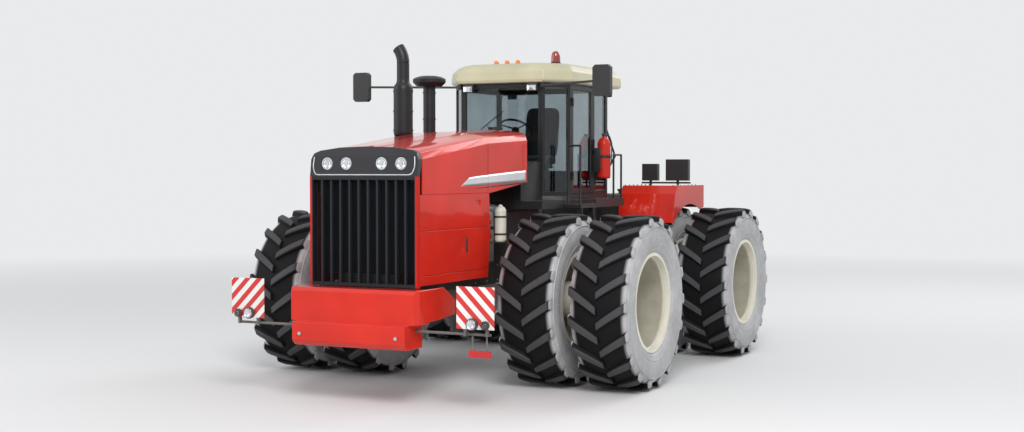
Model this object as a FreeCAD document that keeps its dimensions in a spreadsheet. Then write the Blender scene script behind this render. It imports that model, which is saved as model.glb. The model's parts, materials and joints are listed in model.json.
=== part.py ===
"""Articulated four-wheel-drive farm tractor on dual wheels, in millimetres.

Frame: +Z up, +X to the tractor's left, the nose towards -Y, origin on the ground
under the middle of the whole machine. Distances named along the tractor are
measured from the front axle, positive to the rear, and at() shifts them.
"""
import FreeCAD, Part

import math
import os
import re
import Sketcher

from FreeCAD import Placement, Rotation, Vector

SIZES = (
    # alias, value, what it sets
    ("wheelbase", 3430, "front axle to rear axle"),
    ("pivot_back", 1715, "front axle to the articulation pins"),
    ("front_overhang", 2550, "front axle to the face of the lower weight"),
    ("rear_overhang", 1100, "rear axle to the end of the drawbar"),
    ("tyre_radius", 975, "axle height, and radius over the lugs"),
    ("tyre_width", 690, "tyre over its sidewalls"),
    ("tread_width", 640, "tyre over its lugs"),
    ("lug_height", 52, "lug above the tread at the middle of the tyre"),
    ("lug_thick", 80, "lug across its bar, at its foot"),
    ("lug_slant", 36, "degrees between a lug and the axle"),
    ("lug_pairs", 18, "lugs on each half of a tyre"),
    ("shoulder_drop", 30, "fall of the tread from its middle to its shoulder"),
    ("bead_set", 36, "tyre's bead in from the rim's edge"),
    ("inner_track", 1215, "centre plane to the middle of an inner tyre"),
    ("dual_pitch", 870, "inner tyre to outer tyre"),
    ("rim_radius", 535, "bead seat"),
    ("rim_lip", 26, "flange above the bead seat"),
    ("rim_half", 300, "half width of a rim"),
    ("rim_wall", 14, "rim barrel sheet"),
    ("disc_set", 190, "outer rim's middle inward to its disc"),
    ("wheel_studs", 8, "studs on a wheel's hub"),
    ("stud_circle", 168, "radius of the studs' circle"),
    ("hub_radius", 205, "wheel hub drum"),
    ("hub_inner", 640, "centre plane to the inner face of the hub"),
    ("hub_end", 70, "outer rim's disc out to the end of the hub"),
    ("spindle_radius", 80, "axle spindle inside the hub"),
    ("fit_gap", 0.1, "clearance of a shaft in its bore"),
    ("seat_gap", 0.3, "gap between neighbours that are bolted together"),
    ("move_gap", 8, "gap between neighbours that move"),
    ("axle_tube", 120, "half side of the axle beam"),
    ("diff_radius", 255, "differential case"),
    ("frame_half", 340, "centre plane to the outer face of a frame rail"),
    ("rail_thick", 40, "frame rail plate"),
    ("rail_low", 1110, "underside of the rails"),
    ("rail_high", 1360, "top of the rails"),
    ("ear_radius", 130, "round end of a hinge ear"),
    ("ear_thick", 60, "hinge ear plate"),
    ("hinge_low", 740, "underside of the lower hinge ear"),
    ("hinge_high", 1340, "top of the upper hinge ear"),
    ("hinge_half", 215, "half width of the hinge box"),
    ("hinge_wall", 235, "pivot forward to the hinge box's rear wall"),
    ("pin_radius", 60, "articulation pin"),
    ("yoke_back", 150, "pivot back to the yoke's rear face"),
    ("roll_height", 1040, "height of the lengthwise swivel tube"),
    ("roll_radius", 140, "swivel tube"),
    ("roll_wall", 50, "sleeve around the swivel tube"),
    ("roll_length", 560, "swivel tube from the yoke to its nut"),
    ("ram_offset", 340, "centre plane to a steering cylinder"),
    ("ram_front", 640, "pivot forward to the cylinder's pin"),
    ("ram_rear", 170, "pivot back to the rod's eye"),
    ("ram_radius", 52, "cylinder barrel"),
    ("ram_rod", 26, "cylinder rod"),
    ("ram_pin", 22, "cylinder pin"),
    ("ram_height", 1040, "height of the cylinders"),
    ("ram_length", 470, "cylinder barrel"),
    ("ram_lug", 25, "thickness of the cylinders' brackets"),
    ("ram_mouth", 130, "opening between a bracket's two lugs"),
    ("hood_half", 655, "half width of the hood"),
    ("hood_front", 2130, "front axle forward to the hood's front edge"),
    ("hood_mid", 650, "front axle forward to the bend in the hood's top"),
    ("hood_rear", 370, "front axle back to the hood's rear edge"),
    ("hood_low", 2190, "seam between hood and side panels"),
    ("hood_rise", 110, "rise of the hood's lower edge towards the cab"),
    ("hood_top_front", 2695, "hood crown at the nose"),
    ("hood_top_mid", 2880, "hood crown at the bend"),
    ("hood_top_rear", 2935, "hood crown at the cab"),
    ("hood_wall", 16, "hood sheet"),
    ("hood_bevel", 95, "shoulder between hood side and top"),
    ("hood_crown", 42, "rise of the top to its middle"),
    ("nose_face", 2240, "front axle forward to the grille's face"),
    ("nose_depth", 60, "depth of the grille"),
    ("grille_low", 1232, "underside of the grille"),
    ("grille_high", 2380, "top of the grille"),
    ("grille_rim", 34, "border of the grille"),
    ("grille_bars", 10, "upright bars in the grille"),
    ("bar_half", 11, "half width of a grille bar"),
    ("panel_rear", 620, "front axle forward to the side panels' rear edge"),
    ("panel_thick", 26, "side panel"),
    ("panel_low", 1250, "underside of the side panels"),
    ("seam_width", 10, "groove between two panels"),
    ("lamp_radius", 62, "headlamp"),
    ("lamp_rise", 135, "top of the grille up to the headlamps' middle"),
    ("weight_half", 770, "half width of the upper front weight"),
    ("weight_low", 870, "underside of the upper front weight"),
    ("weight_high", 1225, "top of the upper front weight"),
    ("weight_step", 75, "upper weight's face behind the lower one's"),
    ("lower_half", 680, "half width of the lower front weight"),
    ("lower_low", 620, "underside of the lower front weight"),
    ("wing_rear", 1350, "front axle forward to the end of the weight's wings"),
    ("board_side", 425, "side of a striped warning board"),
    ("board_inner", 1170, "centre plane to a board's inner edge"),
    ("board_low", 860, "underside of the boards"),
    ("board_face", 2350, "front axle forward to the boards"),
    ("board_thick", 6, "warning board sheet"),
    ("bar_radius", 14, "tube that carries the boards"),
    ("bar_drop", 56, "boards' lower edge down to the tube"),
    ("reflector_drop", 230, "tube down to the low reflector's lower edge"),
    ("cab_front", 1000, "front axle back to the windscreen"),
    ("cab_corner", 1300, "front axle back to the door pillar"),
    ("cab_rear", 2500, "front axle back to the cab's rear wall"),
    ("cab_nose_half", 560, "half width of the cab at the windscreen"),
    ("cab_half", 800, "half width of the cab"),
    ("cab_floor", 2130, "top of the cab floor"),
    ("cab_eave", 3520, "underside of the roof"),
    ("cab_wall", 50, "depth of pillars and sills"),
    ("roof_rise", 250, "underside of the roof to its top"),
    ("post", 55, "face width of a cab pillar"),
    ("sill", 55, "face height of a sill"),
    ("glass_set", 14, "pane behind the wall's outer face"),
    ("glass_thick", 6, "window glass"),
    ("door_rear", 2010, "front axle back to the door's rear edge"),
    ("door_border", 50, "face width of the door's frame"),
    ("hinge_out", 16, "cab side out to the door hinges' pins"),
    ("hinge_pin", 6, "pin of a door hinge"),
    ("knuckle", 13, "door hinge knuckle"),
    ("deck_low", 1985, "underside of the cab deck"),
    ("deck_front", 400, "front axle back to the deck's front edge"),
    ("deck_half", 840, "half width of the deck"),
    ("walk_out", 1060, "centre plane to the walkway's outer edge"),
    ("walk_thick", 45, "walkway plate"),
    ("step_front", 1070, "front axle back to the ladder's front string"),
    ("step_width", 360, "ladder between its strings"),
    ("step_count", 4, "ladder treads"),
    ("step_low", 660, "underside of the lowest tread"),
    ("step_pitch", 330, "ladder tread to tread"),
    ("rail_tube", 13, "handrail tube"),
    ("stack_out", 400, "stacks to the right of the centre plane"),
    ("stack_front", 720, "front axle forward to the exhaust"),
    ("cleaner_front", 110, "front axle forward to the air intake"),
    ("stack_radius", 112, "exhaust silencer"),
    ("pipe_radius", 72, "exhaust tail pipe and intake pipe"),
    ("stack_rise", 1010, "bend of the hood's top up to the exhaust's tip"),
    ("stack_bend", 260, "bend of the exhaust's tip"),
    ("cap_radius", 195, "intake cap"),
    ("cap_rise", 680, "bend of the hood's top up to the intake cap's top"),
    ("engine_half", 290, "half width of the engine block"),
    ("engine_high", 2040, "top of the engine block"),
    ("fender_inner", 850, "centre plane to a rear fender's inner wall"),
    ("fender_outer", 1622, "centre plane to a rear fender's skirt"),
    ("fender_front", 690, "rear axle forward to the fender's front"),
    ("fender_back", 560, "rear axle back to the fender's rear"),
    ("fender_low", 1760, "lower tip of the fender's front"),
    ("fender_high", 2245, "top of the rear fenders"),
    ("fender_gap", 45, "fender arch above the lugs"),
    ("fender_wall", 16, "fender sheet"),
    ("tank_front", 400, "rear axle forward to the fuel tank's face"),
    ("tank_back", 640, "rear axle back to the fuel tank's rear"),
    ("tank_high", 2120, "top of the fuel tank"),
    ("rear_lamp_back", 120, "rear axle back to the box lamps"),
    ("hitch_bore", 25.5, "radius of the drawbar's hitch hole"),
    ("swing_pin", 25, "radius of the pin the drawbar swings on"),
    ("drawbar_thick", 58, "drawbar depth"),
    ("drawbar_low", 470, "underside of the drawbar"),
    ("drawbar_half", 60, "half width of the drawbar"),
    ("drawbar_pivot", 330, "rear axle back to the drawbar's front pin"),
    ("hanger_back", 740, "rear axle back to the drawbar's support"),
    ("mirror_out", 1620, "centre plane to the middle of a mirror"),
    ("mirror_front", 350, "front axle back to the mirrors"),
    ("mirror_drop", 40, "underside of the roof down to the mirrors' middle"),
    ("mirror_arm", 13, "half side of a mirror's arm"),
    ("wheel_tilt", 35, "degrees the steering column leans"),
    ("column_foot", 1260, "front axle back to the foot of the column"),
    ("column_length", 230, "steering column"),
    ("wheel_ring", 205, "steering wheel's ring"),
    ("ring_tube", 15, "steering wheel's grip"),
)

doc = FreeCAD.newDocument("farm_tractor")
sheet = doc.addObject("Spreadsheet::Sheet", "Dimensions")
for row, (alias, value, note) in enumerate(SIZES, 1):
    sheet.set("A%d" % row, note)
    sheet.set("B%d" % row, str(value))
    sheet.setAlias("B%d" % row, alias)
doc.recompute()
ALIASES = {entry[0] for entry in SIZES}


class Sheet:
    """Reads a named size as a number, for counts and for shapes that are worked out in code."""

    def __getattr__(self, alias):
        return float(sheet.get(alias))


d = Sheet()
LEFT, RIGHT = 1, -1
SIDES = ((LEFT, "left"), (RIGHT, "right"))
parts = []


def bound(text):
    """Turn the size names in a formula into references to the sheet."""
    def refer(word):
        return "Dimensions." + word[0] if word[0] in ALIASES else word[0]
    return re.sub(r"[a-z][a-z_]*", refer, str(text))


def at(text):
    """A distance behind the front axle, as a formula in the machine's frame."""
    return "(front_overhang - wheelbase - rear_overhang) / 2 + %s" % text


def aft(text):
    """A distance behind the rear axle, as a formula in the machine's frame."""
    return at("wheelbase + " + text)


def hinge(text):
    """A distance behind the articulation pins, as a formula in the machine's frame."""
    return at("pivot_back + " + text)


def axle_y(back=0.0):
    """The same shift as at(), as a number."""
    return (d.front_overhang - d.wheelbase - d.rear_overhang) / 2 + back


def bind(thing, **formulas):
    for name, text in formulas.items():
        thing.setExpression(name, bound(text))


def move(thing, x="0", y="0", z="0", turn=None):
    """Bind the piece's place to the sheet, after an optional turn."""
    if turn is not None:
        thing.Placement = Placement(Vector(), turn)
    for axis, text in zip("xyz", (x, y, z)):
        thing.setExpression("Placement.Base." + axis, bound(text))
    return thing


def both(text):
    """Bounds that are symmetric about the centre plane."""
    return ("-(%s)" % text, text)


def reach(side, near, far):
    """X bounds of something on one side of the centre plane, the lower one first."""
    return (near, far) if side > 0 else ("-(%s)" % far, "-(%s)" % near)


def block(name, x, y, z):
    """A box between two bounds along each axis, each bound a formula."""
    thing = doc.addObject("Part::Box", name)
    bind(thing, Length="(%s) - (%s)" % (x[1], x[0]), Width="(%s) - (%s)" % (y[1], y[0]),
         Height="(%s) - (%s)" % (z[1], z[0]))
    return move(thing, x[0], y[0], z[0])


ALONG = {"x": Rotation(Vector(0, 1, 0), 90), "y": Rotation(Vector(1, 0, 0), -90), "z": Rotation()}
SPIN = {"x": Rotation(), "y": Rotation(Vector(0, 0, 1), 90), "z": Rotation(Vector(0, 1, 0), -90)}


def rod(name, axis, radius, length, x="0", y="0", z="0", turn=None):
    """A round bar from its starting point along an axis."""
    thing = doc.addObject("Part::Cylinder", name)
    bind(thing, Radius=radius, Height=length)
    return move(thing, x, y, z, turn or ALONG[axis])


def cone(name, axis, radius, end_radius, length, x="0", y="0", z="0", turn=None):
    thing = doc.addObject("Part::Cone", name)
    bind(thing, Radius1=radius, Radius2=end_radius, Height=length)
    return move(thing, x, y, z, turn or ALONG[axis])


def ball(name, radius, x="0", y="0", z="0"):
    thing = doc.addObject("Part::Sphere", name)
    bind(thing, Radius=radius)
    return move(thing, x, y, z)


def fuse(name, *things):
    thing = doc.addObject("Part::MultiFuse", name)
    thing.Shapes = list(things)
    return thing


def cut(name, base, *tools):
    thing = doc.addObject("Part::Cut", name)
    thing.Base = base
    thing.Tool = tools[0] if len(tools) == 1 else fuse(name + "_tools", *tools)
    return thing


def shared(name, first, second):
    """What two pieces have in common, for a form with an outline from two sides."""
    thing = doc.addObject("Part::Common", name)
    thing.Base, thing.Tool = first, second
    return thing


def mirror(name, thing):
    """The same piece on the other side of the centre plane."""
    other = doc.addObject("Part::Mirroring", name)
    other.Source = thing
    other.Normal = Vector(1, 0, 0)
    return other


def solid(name, shape):
    """A form that no feature gives, worked out in code from the sheet's values."""
    thing = doc.addObject("Part::Feature", name)
    thing.Shape = shape
    return thing


def keep(label, *things):
    """Name a finished sub-part; several solids that don't touch share its node."""
    thing = things[0]
    if len(things) > 1:
        thing = doc.addObject("Part::Compound", label + "_set")
        thing.Links = list(things)
    thing.Label = label
    parts.append(thing)
    return thing


def outline(sketch, corners):
    """Draw a closed outline of straight runs whose corners are bound to the sheet."""
    places = []
    for corner in corners:
        u, v = (float(sheet.evalExpression(bound(text))) for text in corner)
        places.append(Vector(u, v, 0))
    count = len(places)
    for index in range(count):
        sketch.addGeometry(Part.LineSegment(places[index], places[(index + 1) % count]), False)
    for index in range(count):
        sketch.addConstraint(Sketcher.Constraint("Coincident", index, 2, (index + 1) % count, 1))
    for index, (place, texts) in enumerate(zip(places, corners)):
        for kind, value, text, axis in (("DistanceX", place.x, texts[0], -2),
                                        ("DistanceY", place.y, texts[1], -1)):
            if text == "0":
                sketch.addConstraint(Sketcher.Constraint("PointOnObject", index, 1, axis))
                continue
            number = sketch.addConstraint(Sketcher.Constraint(kind, -1, 1, index, 1, value))
            sketch.setExpression("Constraints[%d]" % number, bound(text))
    sketch.Visibility = False
    return sketch


# Sketch planes by name: the origin plane's role, and the sign of its normal along the world axis
PLANES = {"XY": ("XY_Plane", 1), "XZ": ("XZ_Plane", -1), "YZ": ("YZ_Plane", 1)}


def sketch_on(body, name, plane, corners):
    """An outline attached to one of a body's origin planes."""
    sketch = body.newObject("Sketcher::SketchObject", name)
    origin = [item for item in body.Origin.OriginFeatures if item.Role == PLANES[plane][0]][0]
    sketch.AttachmentSupport = [(origin, "")]
    sketch.MapMode = "FlatFace"
    return outline(sketch, corners)


def prism(name, plane, corners, start, length):
    """A padded outline that starts at a height over its plane and grows along +axis."""
    body = doc.addObject("PartDesign::Body", name)
    sign = PLANES[plane][1]
    sketch = sketch_on(body, name + "_outline", plane, corners)
    sketch.setExpression("AttachmentOffset.Base.z", bound("%d * (%s)" % (sign, start)))
    pad = body.newObject("PartDesign::Pad", name + "_pad")
    pad.Profile = sketch
    pad.Reversed = sign < 0
    pad.setExpression("Length", bound(length))
    return body


def turned(name, axis, corners, x="0", y="0", z="0"):
    """An outline of (distance along, radius) pairs, revolved about an axis."""
    body = doc.addObject("PartDesign::Body", name)
    sketch = sketch_on(body, name + "_outline", "XZ", corners)
    ring = body.newObject("PartDesign::Revolution", name + "_turn")
    ring.Profile = sketch
    ring.ReferenceAxis = (sketch, ["H_Axis"])
    ring.Angle = 360
    return move(body, x, y, z, SPIN[axis])


def loft(name, plane, *sections):
    """A straight-sided loft through outlines, each given with its place along the axis."""
    axis, turn = {"XY": ("z", Rotation()), "XZ": ("y", Rotation(Vector(1, 0, 0), 90))}[plane]
    sketches = []
    for index, (place, corners) in enumerate(sections):
        sketch = doc.addObject("Sketcher::SketchObject", "%s_section_%d" % (name, index))
        sketches.append(move(outline(sketch, corners), turn=turn, **{axis: place}))
    thing = doc.addObject("Part::Loft", name)
    thing.Sections = sketches
    thing.Solid, thing.Ruled = True, True
    return thing


# Front half: frame with hinge ears, axle and front weight


def cylinder_lugs(name, side, pin_y, root):
    """Two lugs, one over the other, that hold a steering cylinder's end between them."""
    lugs = []
    for level, low in (("low", "ram_height - ram_mouth / 2 - ram_lug"),
                       ("high", "ram_height + ram_mouth / 2")):
        lugs.append(block("%s_%s" % (name, level), reach(side, root, "ram_offset"),
                          (pin_y + " - 48", pin_y + " + 48"), (low, low + " + ram_lug")))
        lugs.append(rod("%s_%s_end" % (name, level), "z", "48", "ram_lug",
                        "%d * ram_offset" % side, pin_y, low))
    return lugs


def front_frame():
    front = at("-nose_face + nose_depth + seat_gap")
    rail = prism("front_rail", "YZ", (
        (front, "weight_low + 20"), (at("-1800"), "weight_low + 20"), (at("-1500"), "rail_low"),
        (at("880"), "rail_low"), (at("880"), "rail_high"), (front, "rail_high")),
        "frame_half - rail_thick", "rail_thick")
    cheek = prism("hinge_cheek", "YZ", (
        (at("780"), "rail_low - 40"), (at("1150"), "hinge_low"), (hinge("-hinge_wall"), "hinge_low"),
        (hinge("-hinge_wall"), "hinge_high"), (at("780"), "hinge_high")),
        "hinge_half - rail_thick", "rail_thick")
    pieces = [rail, mirror("front_rail_right", rail), cheek, mirror("hinge_cheek_right", cheek)]
    crosses = (
        # name, front face, rear face, underside, top
        ("front_cross", front, at("-nose_face + 100"), "weight_low + 20", "rail_high"),
        ("mid_cross", at("-520"), at("-480"), "rail_low", "rail_high"),
        ("rear_cross", at("840"), at("880"), "rail_low", "rail_high"),
    )
    for name, near, far, low, high in crosses:
        pieces.append(block(name, both("frame_half - rail_thick"), (near, far), (low, high)))
    pieces.append(block("hinge_wall_plate", both("hinge_half - rail_thick"),
                        (hinge("-hinge_wall - 40"), hinge("-hinge_wall")),
                        ("hinge_low", "hinge_high")))
    for name, low in (("ear_low", "hinge_low"), ("ear_high", "hinge_high - ear_thick")):
        pieces.append(prism(name, "XY", (
            ("-hinge_half", hinge("-hinge_wall - 40")), ("hinge_half", hinge("-hinge_wall - 40")),
            ("hinge_half", hinge("-hinge_wall")), ("ear_radius", hinge("0")),
            ("-ear_radius", hinge("0")), ("-hinge_half", hinge("-hinge_wall"))), low, "ear_thick"))
        pieces.append(rod(name + "_end", "z", "ear_radius", "ear_thick", "0", hinge("0"), low))
    pedestal = block("pedestal", both("frame_half - 10"), (at("470"), at("1380")),
                     ("rail_high - 20", "deck_low - 40"))
    hollow = block("pedestal_hollow", both("frame_half - 50"), (at("510"), at("1340")),
                   ("rail_high - 30", "deck_low"))
    pieces.append(cut("pedestal_box", pedestal, hollow))
    for side, word in SIDES:
        pin_y = hinge("-ram_front")
        pieces += cylinder_lugs("barrel_lug_" + word, side, pin_y, "hinge_half - 5")
        pieces.append(rod("barrel_pin_" + word, "z", "ram_pin", "ram_mouth + 2 * ram_lug + 40",
                          "%d * ram_offset" % side, pin_y,
                          "ram_height - ram_mouth / 2 - ram_lug - 20"))
    bore = rod("pin_bore", "z", "pin_radius + fit_gap", "hinge_high - hinge_low + 40", "0",
               hinge("0"), "hinge_low - 20")
    keep("front_frame", cut("front_frame_cut", fuse("front_frame_body", *pieces), bore))


def axle(name, back):
    """A drive axle: square beam, round differential case, end bells and spindles."""
    centre = at(back)
    beam = block(name + "_beam", both("hub_inner - 130"),
                 (centre + " - axle_tube", centre + " + axle_tube"),
                 ("tyre_radius - axle_tube", "tyre_radius + axle_tube"))
    trim = block(name + "_trim", both("diff_radius + 10"), (centre + " - 400", centre + " + 400"),
                 ("tyre_radius + axle_tube", "tyre_radius + 400"))
    case = ball(name + "_case", "diff_radius", "0", centre, "tyre_radius")
    saddle = block(name + "_saddle", ("frame_half - rail_thick - 20", "frame_half + 20"),
                   (centre + " - 170", centre + " + 170"),
                   ("tyre_radius + axle_tube - 10", "rail_low"))
    pieces = [beam, cut(name + "_case_cut", case, trim), saddle,
              mirror(name + "_saddle_right", saddle)]
    for side, word in SIDES:
        start = "%d * (hub_inner - 140)" % side
        turn = Rotation(Vector(0, 1, 0), 90 * side)
        pieces.append(cone("%s_bell_%s" % (name, word), "x", "axle_tube + 20", "hub_radius - 10",
                           "140 - seat_gap", start, centre, "tyre_radius", turn))
        pieces.append(rod("%s_spindle_%s" % (name, word), "x", "spindle_radius", "140 + 150",
                          start, centre, "tyre_radius", turn))
    keep(name, fuse(name + "_body", *pieces))


def bumper():
    """Front weight: a bevelled upper block, a stepped lower block and two swept wings."""
    face, back = "-front_overhang", at("-nose_face + nose_depth")
    side_view = prism("weight_side", "YZ", (
        (at(face + " + weight_step"), "weight_low"), (back, "weight_low"), (back, "weight_high"),
        (at(face + " + weight_step + 40"), "weight_high"),
        (at(face + " + weight_step"), "weight_high - 40")), "-weight_half", "2 * weight_half")
    plan = prism("weight_plan", "XY", (
        ("weight_half - 60", at(face)), ("weight_half", at(face + " + weight_step + 80")),
        ("weight_half", back), ("-weight_half", back),
        ("-weight_half", at(face + " + weight_step + 80")), ("-weight_half + 60", at(face))),
        "weight_low", "weight_high - weight_low")
    lower = prism("weight_lower", "YZ", (
        (at(face + " + 50"), "lower_low"), (back, "lower_low"), (back, "weight_low"),
        (at(face), "weight_low"), (at(face), "lower_low + 50")), "-lower_half", "2 * lower_half")
    wing = prism("weight_wing", "XY", (
        ("frame_half + seat_gap", back), ("weight_half", back),
        ("weight_half", at("-nose_face + 250")), ("hood_half - 40", at("-wing_rear")),
        ("frame_half + seat_gap", at("-wing_rear"))), "weight_low + 20", "30")
    cheek = prism("weight_cheek", "XY", (
        ("weight_half - 24", back), ("weight_half", back),
        ("weight_half", at("-nose_face + 250")), ("hood_half - 40", at("-wing_rear")),
        ("hood_half - 64", at("-wing_rear")), ("weight_half - 24", at("-nose_face + 245"))),
        "weight_low + 20", "weight_high - weight_low - 20")
    ramp = prism("wing_trim", "YZ", (
        (at("-nose_face + 420"), "weight_high + 1"), (at("-wing_rear + 1"), "weight_high + 1"),
        (at("-wing_rear + 1"), "weight_low + 190")), "frame_half", "weight_half")
    trimmed = cut("cheek_cut", cheek, ramp)
    keep("bumper", fuse("bumper_body", shared("weight_upper", side_view, plan), lower,
                        wing, mirror("wing_right", wing), trimmed, mirror("cheek_right", trimmed)))


def warning_boards():
    """Cross tube on the lower weight, with two boards, their lamps and a low reflector."""
    bar_y, bar_z = at("-board_face + 40"), "board_low - bar_drop"
    bar = rod("board_bar", "x", "bar_radius", "2 * (board_inner + board_side - 60)",
              "-(board_inner + board_side - 60)", bar_y, bar_z)
    room = block("bar_room", both("lower_half + seat_gap"),
                 (at("-board_face - 100"), at("-board_face + 100")), (bar_z + " - 40", bar_z + " + 40"))
    stems = []
    for name, x in (("stem_inner", "board_inner + 90"), ("stem_outer", "board_inner + board_side - 90")):
        stems.append(block(name, (x + " - 12", x + " + 12"), (at("-board_face + seat_gap"), bar_y),
                           (bar_z + " - bar_radius", "board_low + 200")))
    pieces = [cut("bar_cut", bar, room)] + stems
    pieces += [mirror(item.Name + "_right", item) for item in stems]
    for name, x in (("drop_inner", "board_inner + 160"), ("drop_outer", "board_inner + 320")):
        pieces.append(block(name, (x + " - 8", x + " + 8"), (bar_y + " - 4", bar_y + " + 4"),
                            (bar_z + " - reflector_drop", bar_z)))
    keep("warning_bar", fuse("warning_bar_body", *pieces))
    board = block("board", ("board_inner", "board_inner + board_side"),
                  (at("-board_face - board_thick"), at("-board_face")),
                  ("board_low", "board_low + board_side"))
    keep("warning_boards", board, mirror("board_right", board))
    lamps = []
    for name, x, z, radius in (("side_lamp", "board_inner + 185", "board_low + 50", "62"),
                               ("turn_lamp", "board_inner + 330", "board_low + 45", "44")):
        lamps.append(rod(name, "y", radius, "60", x, at("-board_face - board_thick - 60 - seat_gap"), z))
    lamps += [mirror(lamp.Name + "_right", lamp) for lamp in lamps]
    keep("board_lamps", *lamps)
    keep("low_reflector", block("reflector_plate", ("board_inner + 120", "board_inner + 370"),
                                (bar_y + " - 16", bar_y + " - 4 - seat_gap"),
                                (bar_z + " - reflector_drop", bar_z + " - reflector_drop + 70")))


def engine():
    """Block, sump, valve cover, the two stacks' elbows and what shows beside the block."""
    core = "engine_half - 60"
    pieces = [
        block("engine_core", both(core), (at("-1560"), at("330")), ("rail_high", "engine_high")),
        block("engine_deck", both("engine_half"), (at("-1500"), at("200")),
              ("rail_high + 120", "engine_high - 190")),
        prism("sump", "YZ", ((at("-1450"), "rail_high"), (at("-1450"), "rail_low + 40"),
                             (at("-900"), "rail_low + 40"), (at("-760"), "rail_low + 90"),
                             (at("-560"), "rail_low + 90"), (at("-560"), "rail_high")),
              "-(engine_half - 80)", "2 * (engine_half - 80)"),
        prism("valve_cover", "XZ", (("-150", "engine_high"), ("150", "engine_high"),
                                    ("150", "engine_high + 60"), ("110", "engine_high + 100"),
                                    ("-110", "engine_high + 100"), ("-150", "engine_high + 60")),
              at("-1450"), "1300"),
    ]
    for name, place, half in (("exhaust_elbow", "stack_front", "130"),
                              ("intake_elbow", "cleaner_front", "105")):
        pieces.append(block(name, ("-stack_out - 105", "-(%s)" % core),
                            (at("-%s - %s" % (place, half)), at("-%s + %s" % (place, half))),
                            ("engine_high - 150", "engine_high + 10")))
    for index in range(3):
        y = at("-420 + %d * 170" % index)
        pieces.append(rod("filter_%d" % index, "z", "58", "250", "engine_half + 50", y,
                          "rail_high + 280"))
        pieces.append(block("filter_head_%d" % index, (core + " - 1", "engine_half + 105"),
                            (y + " - 60", y + " + 60"), ("rail_high + 530", "rail_high + 600")))
    round_parts = (
        # name, radius, length, sideways, front end, height: bars along the engine
        ("cooler_pipe", "45", "1000", "engine_half + 20", "-800", "engine_high - 50"),
        ("starter", "75", "380", "-(engine_half + 55)", "-300", "rail_high + 210"),
        ("starter_nose", "45", "80", "-(engine_half + 55)", "80", "rail_high + 210"),
        ("exhaust_manifold", "62", "1150", "-(engine_half - 20)", "-1400", "engine_high - 110"),
    )
    for name, radius, length, x, front, z in round_parts:
        pieces.append(rod(name, "y", radius, length, x, at(front), z))
    pieces.append(block("pipe_clamp", (core + " - 1", "engine_half + 30"),
                        (at("-740"), at("-660")), ("engine_high - 100", "engine_high - 10")))
    keep("engine", fuse("engine_body", *pieces))
    low, high = "rail_high + seat_gap", "hood_top_front - 190"
    body = block("radiator_core", both("hood_half - 60"),
                 (at("-nose_face + 110"), at("-nose_face + 330")), (low, high))
    header = rod("radiator_tank", "x", "45", "2 * (hood_half - 120)", "-(hood_half - 120)",
                 at("-nose_face + 220"), high)
    keep("radiator", fuse("radiator_body", body, header))


def hood_ring(low, top, inset):
    """Hood cross-section: upright sides, two-facet shoulders and a crowned top."""
    right = (("hood_half - (%s)" % inset, low),
             ("hood_half - (%s)" % inset, "%s - hood_crown - hood_bevel" % top),
             ("hood_half - 0.3 * hood_bevel - (%s)" % inset,
              "%s - hood_crown - 0.3 * hood_bevel" % top),
             ("hood_half - hood_bevel", "%s - hood_crown" % top),
             ("0.5 * hood_half", "%s - 0.25 * hood_crown" % top))
    left = tuple(("-(%s)" % x, z) for x, z in reversed(right))
    return right + (("0", top),) + left


def nose():
    """Barred grille, and over it a panel with the hood's outline and four round lamps."""
    rim = cut("grille_frame",
              block("grille_outer", both("hood_half"), (at("-nose_face"), at("-nose_face + nose_depth")),
                    ("grille_low", "grille_high")),
              block("grille_window", both("hood_half - grille_rim"),
                    (at("-nose_face - 10"), at("-nose_face + nose_depth + 10")),
                    ("grille_low + grille_rim", "grille_high - grille_rim")))
    pitch = "2 * (hood_half - grille_rim) / (grille_bars + 1)"
    bars = []
    for index in range(int(d.grille_bars)):
        x = "-(hood_half - grille_rim) + %d * %s" % (index + 1, pitch)
        bars.append(block("grille_bar_%d" % index, (x + " - bar_half", x + " + bar_half"),
                          (at("-nose_face + 8"), at("-nose_face + nose_depth - 8")),
                          ("grille_low + grille_rim - 4", "grille_high - grille_rim + 4")))
    keep("grille", fuse("grille_body", rim, *bars))
    back, top = at("-hood_front - seat_gap"), "hood_top_front + 1"
    side_view = prism("panel_side", "YZ", (
        (at("-nose_face"), "grille_high + seat_gap"),
        (at("-nose_face + nose_depth"), "grille_high + seat_gap"),
        (back, "hood_top_front - 120"), (back, top), (at("-hood_front - 30"), top),
        (at("-nose_face + 30"), "grille_high + lamp_rise + 80"),
        (at("-nose_face + 8"), "grille_high + 40")), "-hood_half", "2 * hood_half")
    front_view = prism("panel_front", "XZ", hood_ring("grille_high", "hood_top_front", "0"),
                       at("-nose_face - 10"), "nose_face - hood_front + 20")
    pockets, lamps = [], []
    for name, x in (("lamp_outer_left", "450"), ("lamp_inner_left", "215"),
                    ("lamp_inner_right", "-215"), ("lamp_outer_right", "-450")):
        z = "grille_high + lamp_rise"
        pockets.append(rod(name + "_pocket", "y", "lamp_radius + 8", "70", x,
                           at("-nose_face - 20"), z))
        lamps.append(rod(name, "y", "lamp_radius", "24 - seat_gap", x, at("-nose_face + 26"), z))
    keep("lamp_panel", cut("lamp_panel_cut", shared("lamp_panel_body", side_view, front_view),
                           *pockets))
    keep("headlamps", *lamps)


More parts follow.
